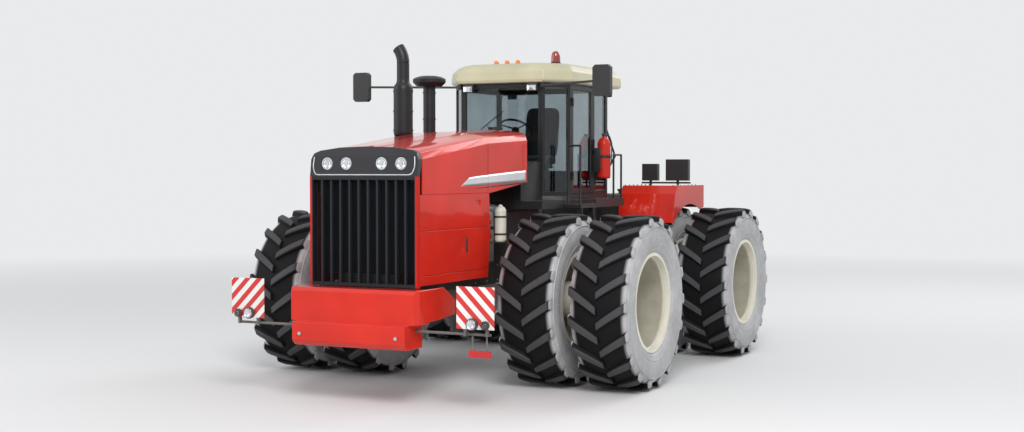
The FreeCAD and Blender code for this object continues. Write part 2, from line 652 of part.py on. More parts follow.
def hood():
    """A lofted sheet over the engine, open below and at both ends, cut for the stacks."""
    climb = "20 * (hood_top_mid - hood_top_front) / (hood_front - hood_mid)"
    climb_rear = "20 * (hood_top_rear - hood_top_mid) / (hood_mid + hood_rear)"
    stations = ((at("-hood_front"), "hood_top_front"), (at("-hood_mid"), "hood_top_mid"),
                (at("hood_rear"), "hood_top_rear"))
    inside = ((at("-hood_front - 20"), "(hood_top_front - hood_wall - %s)" % climb),
              (at("-hood_mid"), "(hood_top_mid - hood_wall)"),
              (at("hood_rear + 20"), "(hood_top_rear - hood_wall + %s)" % climb_rear))
    outer = loft("hood_outer", "XZ", *[(y, hood_ring("hood_low", top, "0")) for y, top in stations])
    inner = loft("hood_inner", "XZ", *[(y, hood_ring("hood_low - 20", top, "hood_wall"))
                                       for y, top in inside])
    wedge = prism("hood_wedge", "YZ", (
        (at("-panel_rear"), "hood_low - 5"), (at("hood_rear + 5"), "hood_low - 5"),
        (at("hood_rear + 5"), "hood_low + hood_rise")), "-hood_half - 5", "2 * hood_half + 10")
    holes = [rod("exhaust_hole", "z", "stack_radius + 12", "900", "-stack_out", at("-stack_front"),
                 "hood_low + 40"),
             rod("intake_hole", "z", "pipe_radius + 12", "900", "-stack_out", at("-cleaner_front"),
                 "hood_low + 40")]
    keep("hood", cut("hood_cut", outer, inner, wedge, *holes))


def side_panels():
    """Lift-off panels with seams, a latch and a handle recess pressed in."""
    front, top = at("-nose_face + nose_depth + seat_gap"), "hood_low - seat_gap"
    panel = prism("side_panel", "YZ", (
        (front, "panel_low"), (at("-panel_rear - 30"), "panel_low"),
        (at("-panel_rear + 30"), "panel_low + 480"), (at("-panel_rear"), top), (front, top)),
        "hood_half - panel_thick", "panel_thick")
    presses = (
        # name, front, rear, underside, top, depth
        ("seam_high", "-nose_face", "-panel_rear + 60", "panel_low + 560",
         "panel_low + 560 + seam_width", "8"),
        ("seam_low", "-nose_face", "-panel_rear + 60", "panel_low + 95",
         "panel_low + 95 + seam_width", "8"),
        ("latch_recess", "-940", "-830", "hood_low - 130", "hood_low - 75", "12"),
        ("handle_recess", "-1180", "-1120", "panel_low + 300", "panel_low + 470", "12"),
    )
    tools = [block(name, ("hood_half - " + depth, "hood_half + 5"), (at(near), at(far)), (low, high))
             for name, near, far, low, high, depth in presses]
    left = cut("side_panel_left", panel, *tools)
    keep("side_panels", left, mirror("side_panel_right", left))


def stacks():
    """Exhaust with a silencer and a bent open tip, and the air intake with its cap."""
    y = at("-stack_front")
    foot = "engine_high + 10 + seat_gap"
    bend_z = "(hood_top_mid + stack_rise - 0.643 * (stack_bend + pipe_radius))"
    column = turned("exhaust_column", "z", (
        (foot, "0"), (foot, "pipe_radius"), ("hood_top_mid - 60", "pipe_radius"),
        ("hood_top_mid - 40", "stack_radius"), ("hood_top_mid + 0.525 * stack_rise", "stack_radius"),
        ("hood_top_mid + 0.565 * stack_rise", "pipe_radius"), (bend_z, "pipe_radius"), (bend_z, "0")),
        "-stack_out", y)
    rings = []
    for name, radius, angle in (("exhaust_bend", "pipe_radius", 40),
                                ("exhaust_throat", "pipe_radius - 6", 41)):
        ring = doc.addObject("Part::Torus", name)
        bind(ring, Radius1="stack_bend", Radius2=radius)
        ring.Angle3 = angle
        rings.append(move(ring, "-stack_out - stack_bend", y, bend_z, Rotation(Vector(1, 0, 0), 90)))
    keep("exhaust_stack", cut("exhaust_cut", fuse("exhaust_body", column, rings[0]), rings[1]))
    top = "hood_top_mid + cap_rise"
    keep("air_intake", turned("intake_body", "z", (
        (foot, "0"), (foot, "pipe_radius"), (top + " - 130", "pipe_radius"),
        (top + " - 130", "0.75 * cap_radius"), (top + " - 80", "cap_radius"),
        (top + " - 40", "cap_radius"), (top, "0.55 * cap_radius"), (top, "0")),
        "-stack_out", at("-cleaner_front")))


# Cab: an outline in plan, walls with cut windows, glass, door and roof

SLOPE = "sqrt((cab_half - cab_nose_half) ^ 2 + (cab_corner - cab_front) ^ 2)"


def corner_point(share, depth):
    """A point on the slanted corner wall, a share along it and a depth behind its face."""
    x = "cab_nose_half + %s * (cab_half - cab_nose_half)" % share
    y = at("cab_front + %s * (cab_corner - cab_front)" % share)
    return ("%s - (%s) * (cab_corner - cab_front) / %s" % (x, depth, SLOPE),
            "%s + (%s) * (cab_half - cab_nose_half) / %s" % (y, depth, SLOPE))


def corner_wall(name, near, far, front, rear, low, height):
    """An upright block along the slanted corner wall."""
    return prism(name, "XY", (corner_point(near, front), corner_point(far, front),
                              corner_point(far, rear), corner_point(near, rear)), low, height)


def cab_plan(inset):
    """Corners of the cab in plan, drawn in by a wall's depth."""
    right = (("cab_nose_half - 0.5 * (%s)" % inset, at("cab_front + %s" % inset)),
             ("cab_half - (%s)" % inset, at("cab_corner + 0.5 * (%s)" % inset)),
             ("cab_half - (%s)" % inset, at("cab_rear - (%s)" % inset)))
    return right + tuple(("-(%s)" % x, y) for x, y in reversed(right))


def cab():
    """Walls with window holes, the panes, and the door on its two hinges."""
    base, head = "cab_floor + sill", "cab_eave - sill"
    shell = prism("cab_shell", "XY", cab_plan("0"), "cab_floor", "cab_eave - seat_gap - cab_floor")
    room = prism("cab_room", "XY", cab_plan("cab_wall"), "cab_floor - 1",
                 "cab_eave - cab_floor + 2")
    front_wall = (at("cab_front - 60"), at("cab_front + cab_wall + 10"))
    rear_wall = (at("cab_rear - cab_wall - 10"), at("cab_rear + 60"))
    side_wall = ("cab_half - cab_wall - 10", "cab_half + 60")
    inner, outer = "glass_set + glass_thick", "glass_set"
    front_pane = (at("cab_front + " + outer), at("cab_front + " + inner))
    rear_pane = (at("cab_rear - (%s)" % inner), at("cab_rear - " + outer))
    side_pane = ("cab_half - (%s)" % inner, "cab_half - " + outer)
    quarter = (at("door_rear + post"), at("cab_rear - post"))
    long_side = (at("cab_corner + post"), at("cab_rear - post"))

    def shrunk(bounds):
        return ("%s + seat_gap" % bounds[0], "%s - seat_gap" % bounds[1])

    nose_x, rear_x = both("cab_nose_half - post"), both("cab_half - post")
    windows = (
        # name, hole sideways, hole lengthways, pane sideways, pane lengthways, underside
        ("windscreen", nose_x, front_wall, shrunk(nose_x), front_pane, "cab_floor + 420"),
        ("rear_window", rear_x, rear_wall, shrunk(rear_x), rear_pane, "cab_floor + 300"),
        ("quarter_left", side_wall, quarter, side_pane, shrunk(quarter), base),
        ("side_right", reach(RIGHT, *side_wall), long_side, reach(RIGHT, *side_pane),
         shrunk(long_side), base),
    )
    tools, panes = [room], []
    for name, hole_x, hole_y, pane_x, pane_y, low in windows:
        tools.append(block(name + "_hole", hole_x, hole_y, (low, head)))
        panes.append(block(name + "_pane", pane_x, pane_y, shrunk((low, head))))
    corner_hole = corner_wall("corner_hole", "0.09", "0.91", "-60", "cab_wall + 40", base,
                              "%s - (%s)" % (head, base))
    corner_pane = corner_wall("corner_pane", "0.091", "0.909", outer, inner, base + " + seat_gap",
                              "%s - (%s) - 2 * seat_gap" % (head, base))
    tools += [corner_hole, mirror("corner_hole_right", corner_hole)]
    panes += [corner_pane, mirror("corner_pane_right", corner_pane)]

    door_front, door_low, door_high = "cab_corner + post - 10", "cab_floor + 30", "cab_eave - 25"
    tools.append(block("door_hole", side_wall,
                       (at(door_front + " - move_gap"), at("door_rear + move_gap")),
                       (door_low + " - move_gap", door_high + " + move_gap")))
    pin_x, pin_y = "cab_half + hinge_out", at(door_front + " - move_gap / 2")
    frame_parts, door_parts, pin_holes = [], [], []
    for level, z in (("low", door_low + " + 160"), ("high", door_high + " - 260")):
        fixed, hung = (z, z + " + 45"), (z + " + 46", z + " + 101")
        frame_parts += [
            rod("post_knuckle_" + level, "z", "knuckle", "45", pin_x, pin_y, z),
            block("post_strap_" + level, ("cab_half - 1", "cab_half + 8"), (pin_y + " - 40", pin_y),
                  fixed),
            block("post_web_" + level, ("cab_half - 1", pin_x), (pin_y + " - 12", pin_y), fixed),
            rod("hinge_pin_" + level, "z", "hinge_pin", "110", pin_x, pin_y, z + " + 1")]
        door_parts += [
            rod("door_knuckle_" + level, "z", "knuckle", "55", pin_x, pin_y, z + " + 46"),
            block("door_strap_" + level, ("cab_half - 1", "cab_half + 8"),
                  (pin_y + " + move_gap / 2", pin_y + " + 44"), hung),
            block("door_web_" + level, ("cab_half", pin_x), (pin_y, pin_y + " + 12"), hung)]
        pin_holes.append(rod("pin_hole_" + level, "z", "hinge_pin + fit_gap", "100", pin_x, pin_y,
                             z + " + 30"))
    walls = cut("cab_walls", shell, *tools)
    keep("cab_frame", fuse("cab_frame_body", walls, *frame_parts))
    keep("cab_glass", *panes)

    leaf = block("door_leaf", ("cab_half - cab_wall", "cab_half"), (at(door_front), at("door_rear")),
                 (door_low, door_high))
    pane_y = (at(door_front + " + door_border"), at("door_rear - door_border"))
    pane_z = (door_low + " + door_border", door_high + " - door_border")
    hole = block("door_window", side_wall, pane_y, pane_z)
    handle = block("door_handle", ("cab_half - 1", "cab_half + 34"),
                   (at("door_rear - 46"), at("door_rear - 16")), ("cab_floor + 560", "cab_floor + 710"))
    grip = block("handle_gap", ("cab_half", "cab_half + 20"),
                 (at("door_rear - 50"), at("door_rear - 10")), ("cab_floor + 580", "cab_floor + 690"))
    body = fuse("cab_door_body", cut("door_ring", leaf, hole), cut("door_grip", handle, grip),
                *door_parts)
    keep("cab_door", cut("cab_door_cut", body, *pin_holes))
    keep("door_glass", block("door_pane", side_pane, shrunk(pane_y), shrunk(pane_z)))


def roof():
    """Upright rim with a drawn-in lip below and a crown stepped in over the top edge."""
    def ring(inset):
        right = (("cab_nose_half + 40 - %s" % inset, at("cab_front - 60 + %s" % inset)),
                 ("cab_half + 50 - %s" % inset, at("cab_corner - 40 + %s" % inset)),
                 ("cab_half + 50 - %s" % inset, at("cab_rear + 380 - %s" % inset)))
        return right + tuple(("-(%s)" % x, y) for x, y in reversed(right))
    keep("cab_roof", loft("roof_loft", "XY", ("cab_eave", ring("25")), ("cab_eave + 30", ring("0")),
                          ("cab_eave + 150", ring("10")), ("cab_eave + roof_rise - 25", ring("70")),
                          ("cab_eave + roof_rise", ring("150"))))


def cab_base():
    """Floor, deck and the cowl under the windscreen."""
    floor = prism("floor", "XY", cab_plan("0"), "cab_floor - 50 - seat_gap", "50")
    deck = block("deck", both("deck_half"), (at("deck_front"), at("cab_rear - 40")),
                 ("deck_low", "cab_floor - 50 - seat_gap"))
    mounts = block("deck_mounts", both("frame_half - 20"), (at("480"), at("1370")),
                   ("deck_low - 40 + seat_gap", "deck_low"))
    cowl_rear = at("cab_front - seat_gap")
    cowl = prism("cowl", "YZ", (
        (at("hood_rear + 60"), "cab_floor - 51"), (cowl_rear, "cab_floor - 51"),
        (cowl_rear, "cab_floor + 420"), (at("cab_front - 120"), "cab_floor + 420"),
        (at("hood_rear + 60"), "cab_floor + 300")), "-(cab_nose_half - 20)",
        "2 * (cab_nose_half - 20)")
    keep("cab_base", fuse("cab_base_body", floor, deck, mounts, cowl))


def cab_inside():
    """Seat with an arm console, dash and column, and the steering wheel on its own node."""
    seat = [
        prism("seat_cushion", "YZ", ((at("1640"), "cab_floor + 390"), (at("2150"), "cab_floor + 370"),
                                     (at("2150"), "cab_floor + 480"), (at("1670"), "cab_floor + 510"),
                                     (at("1640"), "cab_floor + 480")), "-250", "500"),
        prism("seat_back", "YZ", ((at("2090"), "cab_floor + 460"), (at("2200"), "cab_floor + 440"),
                                  (at("2290"), "cab_floor + 1130"), (at("2210"), "cab_floor + 1150")),
              "-230", "460"),
        block("seat_post", both("160"), (at("1730"), at("2070")), ("cab_floor", "cab_floor + 400")),
        block("arm_console", ("-380", "-260"), (at("1700"), at("2160")),
              ("cab_floor + 480", "cab_floor + 620")),
        block("arm_bracket", ("-300", "-240"), (at("1900"), at("2000")),
              ("cab_floor + 400", "cab_floor + 490")),
    ]
    keep("seat", fuse("seat_body", *seat))
    lean = Rotation(Vector(1, 0, 0), -d.wheel_tilt)
    dash = prism("dash", "YZ", (
        (at("1120"), "cab_floor"), (at("1300"), "cab_floor"), (at("1330"), "cab_floor + 560"),
        (at("1180"), "cab_floor + 720"), (at("1080"), "cab_floor + 640")), "-170", "340")
    column = rod("steering_column", "z", "30", "column_length", "0", at("column_foot"),
                 "cab_floor + 620", lean)
    keep("console", fuse("console_body", dash, column))
    flat, point = 0.383, 0.924
    grip = [("30 + %.3f * ring_tube" % along, "wheel_ring + %.3f * ring_tube" % out)
            for along, out in ((flat, point), (point, flat), (point, -flat), (flat, -point),
                               (-flat, -point), (-point, -flat), (-point, flat), (-flat, point))]
    pieces = [turned("wheel_grip", "z", grip), rod("wheel_boss", "z", "48", "46")]
    for index in range(3):
        spoke = doc.addObject("Part::Box", "wheel_spoke_%d" % index)
        bind(spoke, Length="wheel_ring - 35", Width="24", Height="14")
        turn = Rotation(Vector(0, 0, 1), 90 + 120 * index)
        spoke.Placement = Placement(turn.multVec(Vector(30, -12, 23)), turn)
        pieces.append(spoke)
    along, tilt = "(column_length + seat_gap)", math.radians(d.wheel_tilt)
    keep("steering_wheel", move(
        fuse("steering_wheel_body", *pieces), "0",
        at("column_foot + %s * %.9f" % (along, math.sin(tilt))),
        "cab_floor + 620 + %s * %.9f" % (along, math.cos(tilt)), lean))


def mirrors():
    """Each mirror on a square arm from a foot under the roof's front corner."""
    root_x, root_y = "cab_nose_half + 10", at("cab_front - 22")
    tip_x, tip_y = "mirror_out - 20", at("mirror_front + 50")
    arm = prism("mirror_arm_left", "XY", (
        (root_x, root_y + " - mirror_arm"), (tip_x, tip_y + " - mirror_arm"),
        (tip_x, tip_y + " + mirror_arm"), (root_x, root_y + " + mirror_arm")),
        "cab_eave - 50", "2 * mirror_arm")
    foot = block("mirror_foot", (root_x + " - 18", root_x + " + 18"),
                 (root_y + " - 18", root_y + " + 18"), ("cab_eave - 60", "cab_eave - seat_gap"))
    middle = "cab_eave - mirror_drop"
    head = prism("mirror_head", "XZ", [
        ("mirror_out + %d" % across, "%s + %d" % (middle, up)) for across, up in (
            (-110, -150), (-80, -180), (80, -180), (110, -150),
            (110, 150), (80, 180), (-80, 180), (-110, 150))],
        at("mirror_front - 35"), "75")
    link = block("mirror_link", ("mirror_out - 40", "mirror_out"), (at("mirror_front + 30"), tip_y),
                 ("cab_eave - 60", "cab_eave - 14"))
    left = fuse("mirror_left", arm, foot, head, link)
    keep("mirrors", left, mirror("mirror_right", left))


def roof_lights():
    """Lamps under the roof's lip, marker lamps over the windscreen and the beacon."""
    lamps = []
    for name, x, y, way, half in (("roof_lamp", "440", "cab_front - 68", 1, "70"),
                                  ("work_lamp", "700", "cab_rear + 268", -1, "60")):
        side_view = [(at("%s + %d" % (y, way * along)), "cab_eave - " + drop) for along, drop in (
            (0, "100"), (45, "108"), (64, "70"), (64, "seat_gap"), (20, "seat_gap"), (0, "30"))]
        lamp = prism(name, "YZ", side_view, "%s - %s" % (x, half), "2 * %s" % half)
        lamps += [lamp, mirror(name + "_right", lamp)]
    keep("roof_lamps", *lamps)
    top = "cab_eave + roof_rise"
    keep("roof_markers", *[rod("marker_%d" % index, "z", "32", "46", "%d" % (150 * (index - 1)),
                               at("cab_front + 160"), top + " + seat_gap") for index in range(3)])
    keep("beacon", turned("beacon_body", "z", (
        (top + " + seat_gap", "0"), (top + " + seat_gap", "72"), (top + " + 40", "72"),
        (top + " + 50", "60"), (top + " + 150", "54"), (top + " + 182", "36"),
        (top + " + 190", "0")), "420", at("1700")))


def extinguisher():
    """Bottle on a bracket from the pillar behind the door."""
    x, y = "cab_half + 110", at("door_rear + 110")
    bottle = turned("bottle", "z", (
        ("cab_floor + 210", "0"), ("cab_floor + 210", "70"), ("cab_floor + 230", "84"),
        ("cab_floor + 670", "84"), ("cab_floor + 715", "62"), ("cab_floor + 740", "26"),
        ("cab_floor + 775", "26"), ("cab_floor + 775", "0")), x, y)
    lever = block("bottle_lever", (x + " - 14", x + " + 14"), (y + " - 60", y + " + 40"),
                  ("cab_floor + 765", "cab_floor + 785"))
    bracket = block("bottle_bracket", ("cab_half + seat_gap", "cab_half + 100"),
                    (at("door_rear + 17"), at("door_rear + 50")), ("cab_floor + 300", "cab_floor + 600"))
    keep("extinguisher", fuse("extinguisher_body", bottle, lever, bracket))


def steps():
    """Walkway beside the cab with its rails, and the ladder down between the front duals."""
    top = "deck_low + walk_thick"
    pieces = [block("walkway", ("deck_half + seat_gap", "walk_out"),
                    (at("cab_front + 40"), at("cab_rear - 60")), ("deck_low", top)),
              block("toe_board", ("walk_out - 12", "walk_out"), (at("1500"), at("cab_rear - 60")),
                    ("deck_low", top + " + 60"))]
    string_y = (("string_front", "step_front"), ("string_rear", "step_front + step_width"))
    for name, y in string_y:
        pieces.append(prism(name, "XZ", (
            ("walk_out - 70", "deck_low + 20"), ("walk_out + 20", "step_low - 20"),
            ("walk_out + 80", "step_low - 20"), ("walk_out", "deck_low + 20")), at(y + " - 10"), "20"))
    for index in range(int(d.step_count)):
        z = "step_low + %d * step_pitch" % index
        x = "walk_out + 40 - %d * step_pitch * 0.055" % index
        pieces.append(block("tread_%d" % index, (x + " - 100", x + " + 50"),
                            (at("step_front"), at("step_front + step_width")), (z, z + " + 30")))
    low = "deck_low + 20"
    hoops = (
        # name, direction, first post sideways, first post back, posts apart, height
        ("front_rail", "x", "deck_half + 40", "cab_front + 58", "walk_out - deck_half - 60", "740"),
        ("rear_rail", "y", "walk_out - 30", "cab_rear - 350", "260", "640"),
    )
    for name, axis, x, y, apart, height in hoops:
        far_x, far_y = (x + " + " + apart, y) if axis == "x" else (x, y + " + " + apart)
        high = low + " + " + height
        pieces.append(rod(name + "_top", axis, "rail_tube", apart, x, at(y), high))
        for end, post_x, post_y in (("near", x, y), ("far", far_x, far_y)):
            pieces.append(rod("%s_%s" % (name, end), "z", "rail_tube", height, post_x, at(post_y), low))
            pieces.append(ball("%s_knee_%s" % (name, end), "rail_tube", post_x, at(post_y), high))
    keep("cab_steps", fuse("cab_steps_body", *pieces))


def handrails():
    """Bent tube on the cab's rear wall, beside the walkway's end."""
    points = (
        # sideways, behind the cab's rear wall, above the cab's floor
        (-30, d.seat_gap, 840), (-30, 50, 840), (60, 120, 500), (-30, 50, 300), (-30, d.seat_gap, 300))
    places = [Vector(d.cab_half + x, axle_y(d.cab_rear + y), d.cab_floor + z) for x, y, z in points]
    runs = []
    for first, second in zip(places[:-1], places[1:]):
        runs.append(Part.makeCylinder(d.rail_tube, (second - first).Length, first, second - first))
    knees = [Part.makeSphere(d.rail_tube, place) for place in places[1:-1]]
    keep("handrails", solid("handrail_tube", runs[0].fuse(runs[1:] + knees)))


# Middle: the yoke that turns on the pins, and the steering cylinders


def yoke():
    """Casting between the ears with its pins, arms for the rods and the swivel tube."""
    core = prism("yoke_core", "XY", (
        ("-(ear_radius - 25)", hinge("-110")), ("ear_radius - 25", hinge("-110")),
        ("ear_radius", hinge("-60")), ("roll_radius + 40", hinge("yoke_back")),
        ("-(roll_radius + 40)", hinge("yoke_back")), ("-ear_radius", hinge("-60"))),
        "hinge_low + ear_thick + move_gap",
        "hinge_high - hinge_low - 2 * ear_thick - 2 * move_gap")
    tall, tube_end = "hinge_high - hinge_low", hinge("yoke_back - 1 + roll_length")
    pieces = [core,
              rod("yoke_pin", "z", "pin_radius", tall, "0", hinge("0"), "hinge_low"),
              rod("pin_end", "z", "pin_radius - 10", tall + " + 2 * move_gap", "0", hinge("0"),
                  "hinge_low - move_gap"),
              rod("pin_cap_low", "z", "pin_radius + 25", "18", "0", hinge("0"),
                  "hinge_low - 18 - move_gap / 2"),
              rod("pin_cap_high", "z", "pin_radius + 25", "18", "0", hinge("0"),
                  "hinge_high + move_gap / 2"),
              rod("swivel_tube", "y", "roll_radius", "roll_length", "0", hinge("yoke_back - 1"),
                  "roll_height"),
              rod("swivel_nut", "y", "roll_radius + 40", "50", "0", tube_end, "roll_height")]
    for side, word in SIDES:
        x, y = "%d * ram_offset" % side, hinge("ram_rear")
        for level, low, head in (
                ("low", "ram_height - ram_mouth / 2 - ram_lug", "-20"),
                ("high", "ram_height + ram_mouth / 2", "ram_lug")):
            name = "%s_%s" % (level, word)
            pieces.append(prism("yoke_arm_" + name, "XY", (
                ("%d * 100" % side, hinge("ram_rear - 110")),
                ("%d * 100" % side, hinge("yoke_back - 10")),
                ("%d * (roll_radius + 30)" % side, hinge("ram_rear + 60")),
                (x, hinge("ram_rear + 60")), (x, hinge("ram_rear - 60"))), low, "ram_lug"))
            pieces.append(rod("yoke_tip_" + name, "z", "60", "ram_lug", x, y, low))
            pieces.append(rod("pin_head_" + name, "z", "34", "20", x, y, "%s + %s" % (low, head)))
    keep("pivot_yoke", fuse("pivot_yoke_body", *pieces))


def steering_cylinders():
    """Barrel with its eye on the front frame, and rod with an eye between the yoke's lugs."""
    for side, word in SIDES:
        x, foot = "%d * ram_offset" % side, hinge("-ram_front")
        barrel = turned("barrel_" + word, "y", (
            ("34", "0"), ("34", "34"), ("62", "34"), ("62", "ram_radius"),
            ("62 + ram_length - 60", "ram_radius"), ("62 + ram_length - 60", "ram_radius + 7"),
            ("62 + ram_length", "ram_radius + 7"), ("62 + ram_length", "ram_rod + fit_gap"),
            ("100", "ram_rod + fit_gap"), ("100", "0")), x, foot, "ram_height")
        eye = rod("barrel_eye_" + word, "z", "44", "ram_mouth - 14", x, foot,
                  "ram_height - ram_mouth / 2 + 7")
        hole = rod("barrel_hole_" + word, "z", "ram_pin + fit_gap", "ram_mouth", x, foot,
                   "ram_height - ram_mouth / 2")
        body = fuse("barrel_body_" + word, barrel, eye)
        keep("ram_barrel_" + word, cut("barrel_cut_" + word, body, hole))
        shaft = rod("shaft_" + word, "y", "ram_rod", "ram_front + ram_rear - 330 - 30", x,
                    foot + " + 330", "ram_height")
        knob = rod("rod_eye_" + word, "z", "42", "ram_mouth - 20", x, hinge("ram_rear"),
                   "ram_height - ram_mouth / 2 + 10")
        keep("ram_rod_" + word, fuse("rod_body_" + word, shaft, knob))


# Rear half: frame, drawbar, fuel tank, fenders, lamps and couplers


def rear_frame():
    """Two rails with cross plates, the sleeve on the swivel tube and the drawbar's supports."""
    inner, plate = "frame_half - rail_thick", hinge("yoke_back + 410")
    rail = prism("rear_rail", "YZ", (
        (plate, "rail_low - 60"), (plate + " + 150", "rail_low"), (aft("820"), "rail_low"),
        (aft("820"), "rail_high"), (plate, "rail_high")), inner, "rail_thick")
    sleeve_start = hinge("ram_rear + 60 + move_gap")
    sleeve_length = "yoke_back - 1 + roll_length - ram_rear - 60 - 2 * move_gap"
    hanger = prism("hanger", "XZ", (
        ("-260", "rail_low"), ("-200", "drawbar_low - 60"), ("200", "drawbar_low - 60"),
        ("260", "rail_low")), aft("hanger_back"), "80")
    slot = block("hanger_slot", both("180"), (aft("hanger_back - 40"), aft("hanger_back + 120")),
                 ("drawbar_low - 20", "drawbar_low + drawbar_thick + 20"))
    clevis = block("drawbar_clevis", both("90"), (aft("drawbar_pivot - 90"), aft("drawbar_pivot + 70")),
                   ("drawbar_low - 50", "drawbar_low + drawbar_thick + 80"))
    mouth = block("drawbar_mouth", both("110"), (aft("drawbar_pivot - 75"), aft("drawbar_pivot + 100")),
                  ("drawbar_low - 6", "drawbar_low + drawbar_thick + 6"))
    pieces = [
        rail, mirror("rear_rail_right", rail),
        block("rear_front_plate", both("frame_half"), (plate, plate + " + 40"),
              ("roll_height - roll_radius - roll_wall", "rail_high")),
        block("rear_back_plate", both("frame_half"), (aft("780"), aft("820")),
              ("rail_low", "rail_high")),
        block("rear_mid_plate", both(inner), (aft("-260"), aft("-220")), ("rail_low", "rail_high")),
        rod("sleeve", "y", "roll_radius + roll_wall", sleeve_length, "0", sleeve_start,
            "roll_height"),
        prism("sleeve_rib", "YZ", (
            (sleeve_start, "roll_height"), (plate, "roll_height"), (plate, "rail_high - 20"),
            (sleeve_start, "roll_height + roll_radius + roll_wall + 10")), "-25", "50"),
        cut("hanger_cut", hanger, slot), cut("clevis_cut", clevis, mouth),
        block("drawbar_mast", both("110"), (aft("drawbar_pivot - 50"), aft("drawbar_pivot + 50")),
              ("drawbar_low + drawbar_thick + 79", "rail_low + 60")),
        block("drawbar_shelf", both(inner), (aft("drawbar_pivot - 60"), aft("drawbar_pivot + 60")),
              ("rail_low", "rail_low + 60")),
        rod("drawbar_front_pin", "z", "swing_pin", "drawbar_thick + 120", "0", aft("drawbar_pivot"),
            "drawbar_low - 50"),
    ]
    bore = rod("sleeve_bore", "y", "roll_radius + fit_gap", "roll_length + 100", "0",
               hinge("yoke_back - 10"), "roll_height")
    keep("rear_frame", cut("rear_frame_cut", fuse("rear_frame_body", *pieces), bore))


def drawbar():
    front, tail = aft("drawbar_pivot"), aft("rear_overhang - drawbar_half")
    bar = fuse("drawbar_body",
               block("drawbar_bar", both("drawbar_half"), (front, tail),
                     ("drawbar_low", "drawbar_low + drawbar_thick")),
               rod("drawbar_nose", "z", "drawbar_half", "drawbar_thick", "0", front, "drawbar_low"),
               rod("drawbar_tail", "z", "drawbar_half", "drawbar_thick", "0", tail, "drawbar_low"))
    holes = [rod("hitch_hole", "z", "hitch_bore", "drawbar_thick + 20", "0", tail,
                 "drawbar_low - 10"),
             rod("front_hole", "z", "swing_pin + fit_gap", "drawbar_thick + 20", "0", front,
                 "drawbar_low - 10")]
    keep("drawbar", cut("drawbar_cut", bar, *holes))


def tank():
    """Fuel tank across the rear frame between the fenders."""
    low, front, back = "rail_high + seat_gap", aft("-tank_front"), aft("tank_back")
    box = prism("tank_box", "YZ", (
        (front + " + 60", low), (back + " - 60", low), (back, low + " + 90"),
        (back, "tank_high - 60"), (back + " - 60", "tank_high"), (front + " + 130", "tank_high"),
        (front, "tank_high - 160"), (front, low + " + 90")),
        "-(fender_inner - seat_gap)", "2 * (fender_inner - seat_gap)")
    neck = rod("filler_neck", "z", "55", "50", "520", aft("300"), "tank_high - 10")
    lid = rod("filler_cap", "z", "70", "30", "520", aft("300"), "tank_high + 39")
    keep("fuel_tank", fuse("fuel_tank_body", box, neck, lid))


def fenders():
    """Sheet fender over the inner rear tyre: its side outline less the wheel's arch, hollowed."""
    front, back = aft("-fender_front"), aft("fender_back")
    width = "fender_outer - fender_inner"
    body = prism("fender_body", "YZ", (
        (front, "fender_low"), (front + " + 90", "fender_high - 110"),
        (front + " + 190", "fender_high"), (back, "fender_high"), (back, "fender_low + 180")),
        "fender_inner", width)
    room = prism("fender_room", "YZ", (
        (front + " + fender_wall", "fender_low - 40"),
        (front + " + 90 + fender_wall", "fender_high - 110 - fender_wall / 2"),
        (front + " + 190 + fender_wall / 2", "fender_high - fender_wall"),
        (back + " - fender_wall", "fender_high - fender_wall"),
        (back + " - fender_wall", "fender_low - 40")),
        "fender_inner + fender_wall", width + " - 2 * fender_wall")
    arch = rod("wheel_arch", "x", "tyre_radius + fender_gap", width + " + 20",
               "fender_inner - 10", aft("0"), "tyre_radius")
    left = cut("fender_left", body, arch, room)
    keep("rear_fenders", left, mirror("fender_right", left))


def rear_lamps():
    """Box lamps on stems from a rail along the fender's top."""
    y = aft("rear_lamp_back")
    pieces = [block("lamp_rail", ("fender_inner + 30", "fender_outer - 42"),
                    (y + " - 15", y + " + 15"), ("fender_high + 20", "fender_high + 44"))]
    for name, x, half, high in (("outer", "1400", "160", "290"), ("inner", "1010", "112", "230")):
        low, top = "fender_high + 60", "fender_high + 60 + " + high
        pieces += [
            prism("box_lamp_" + name, "YZ", (
                (y + " - 45", low), (y + " + 35", low), (y + " + 45", low + " + 15"),
                (y + " + 45", top + " - 15"), (y + " + 35", top), (y + " - 45", top)),
                "%s - %s" % (x, half), "2 * %s" % half),
            block("lamp_stem_" + name, (x + " - 15", x + " + 15"), (y + " - 15", y + " + 15"),
                  ("fender_high + seat_gap", low + " + 1"))]
    left = fuse("rear_lamp_left", *pieces)
    keep("rear_lamps", left, mirror("rear_lamp_right", left))


def couplers():
    """Oil coupler block on the rear plate, two rows of three outlets."""
    pieces = [block("coupler_plate", both("200"), (aft("820 + seat_gap"), aft("850")),
                    ("rail_low + 30", "rail_high - 10"))]
    for index in range(6):
        x = "%d" % (-125 + 125 * (index % 3))
        z = "rail_low + %d" % (90 + 90 * (index // 3))
        pieces.append(rod("coupler_%d" % index, "y", "26", "60", x, aft("849"), z))
    keep("couplers", fuse("couplers_body", *pieces))


# Wheels: hub with both rims, and the two lugged tyres


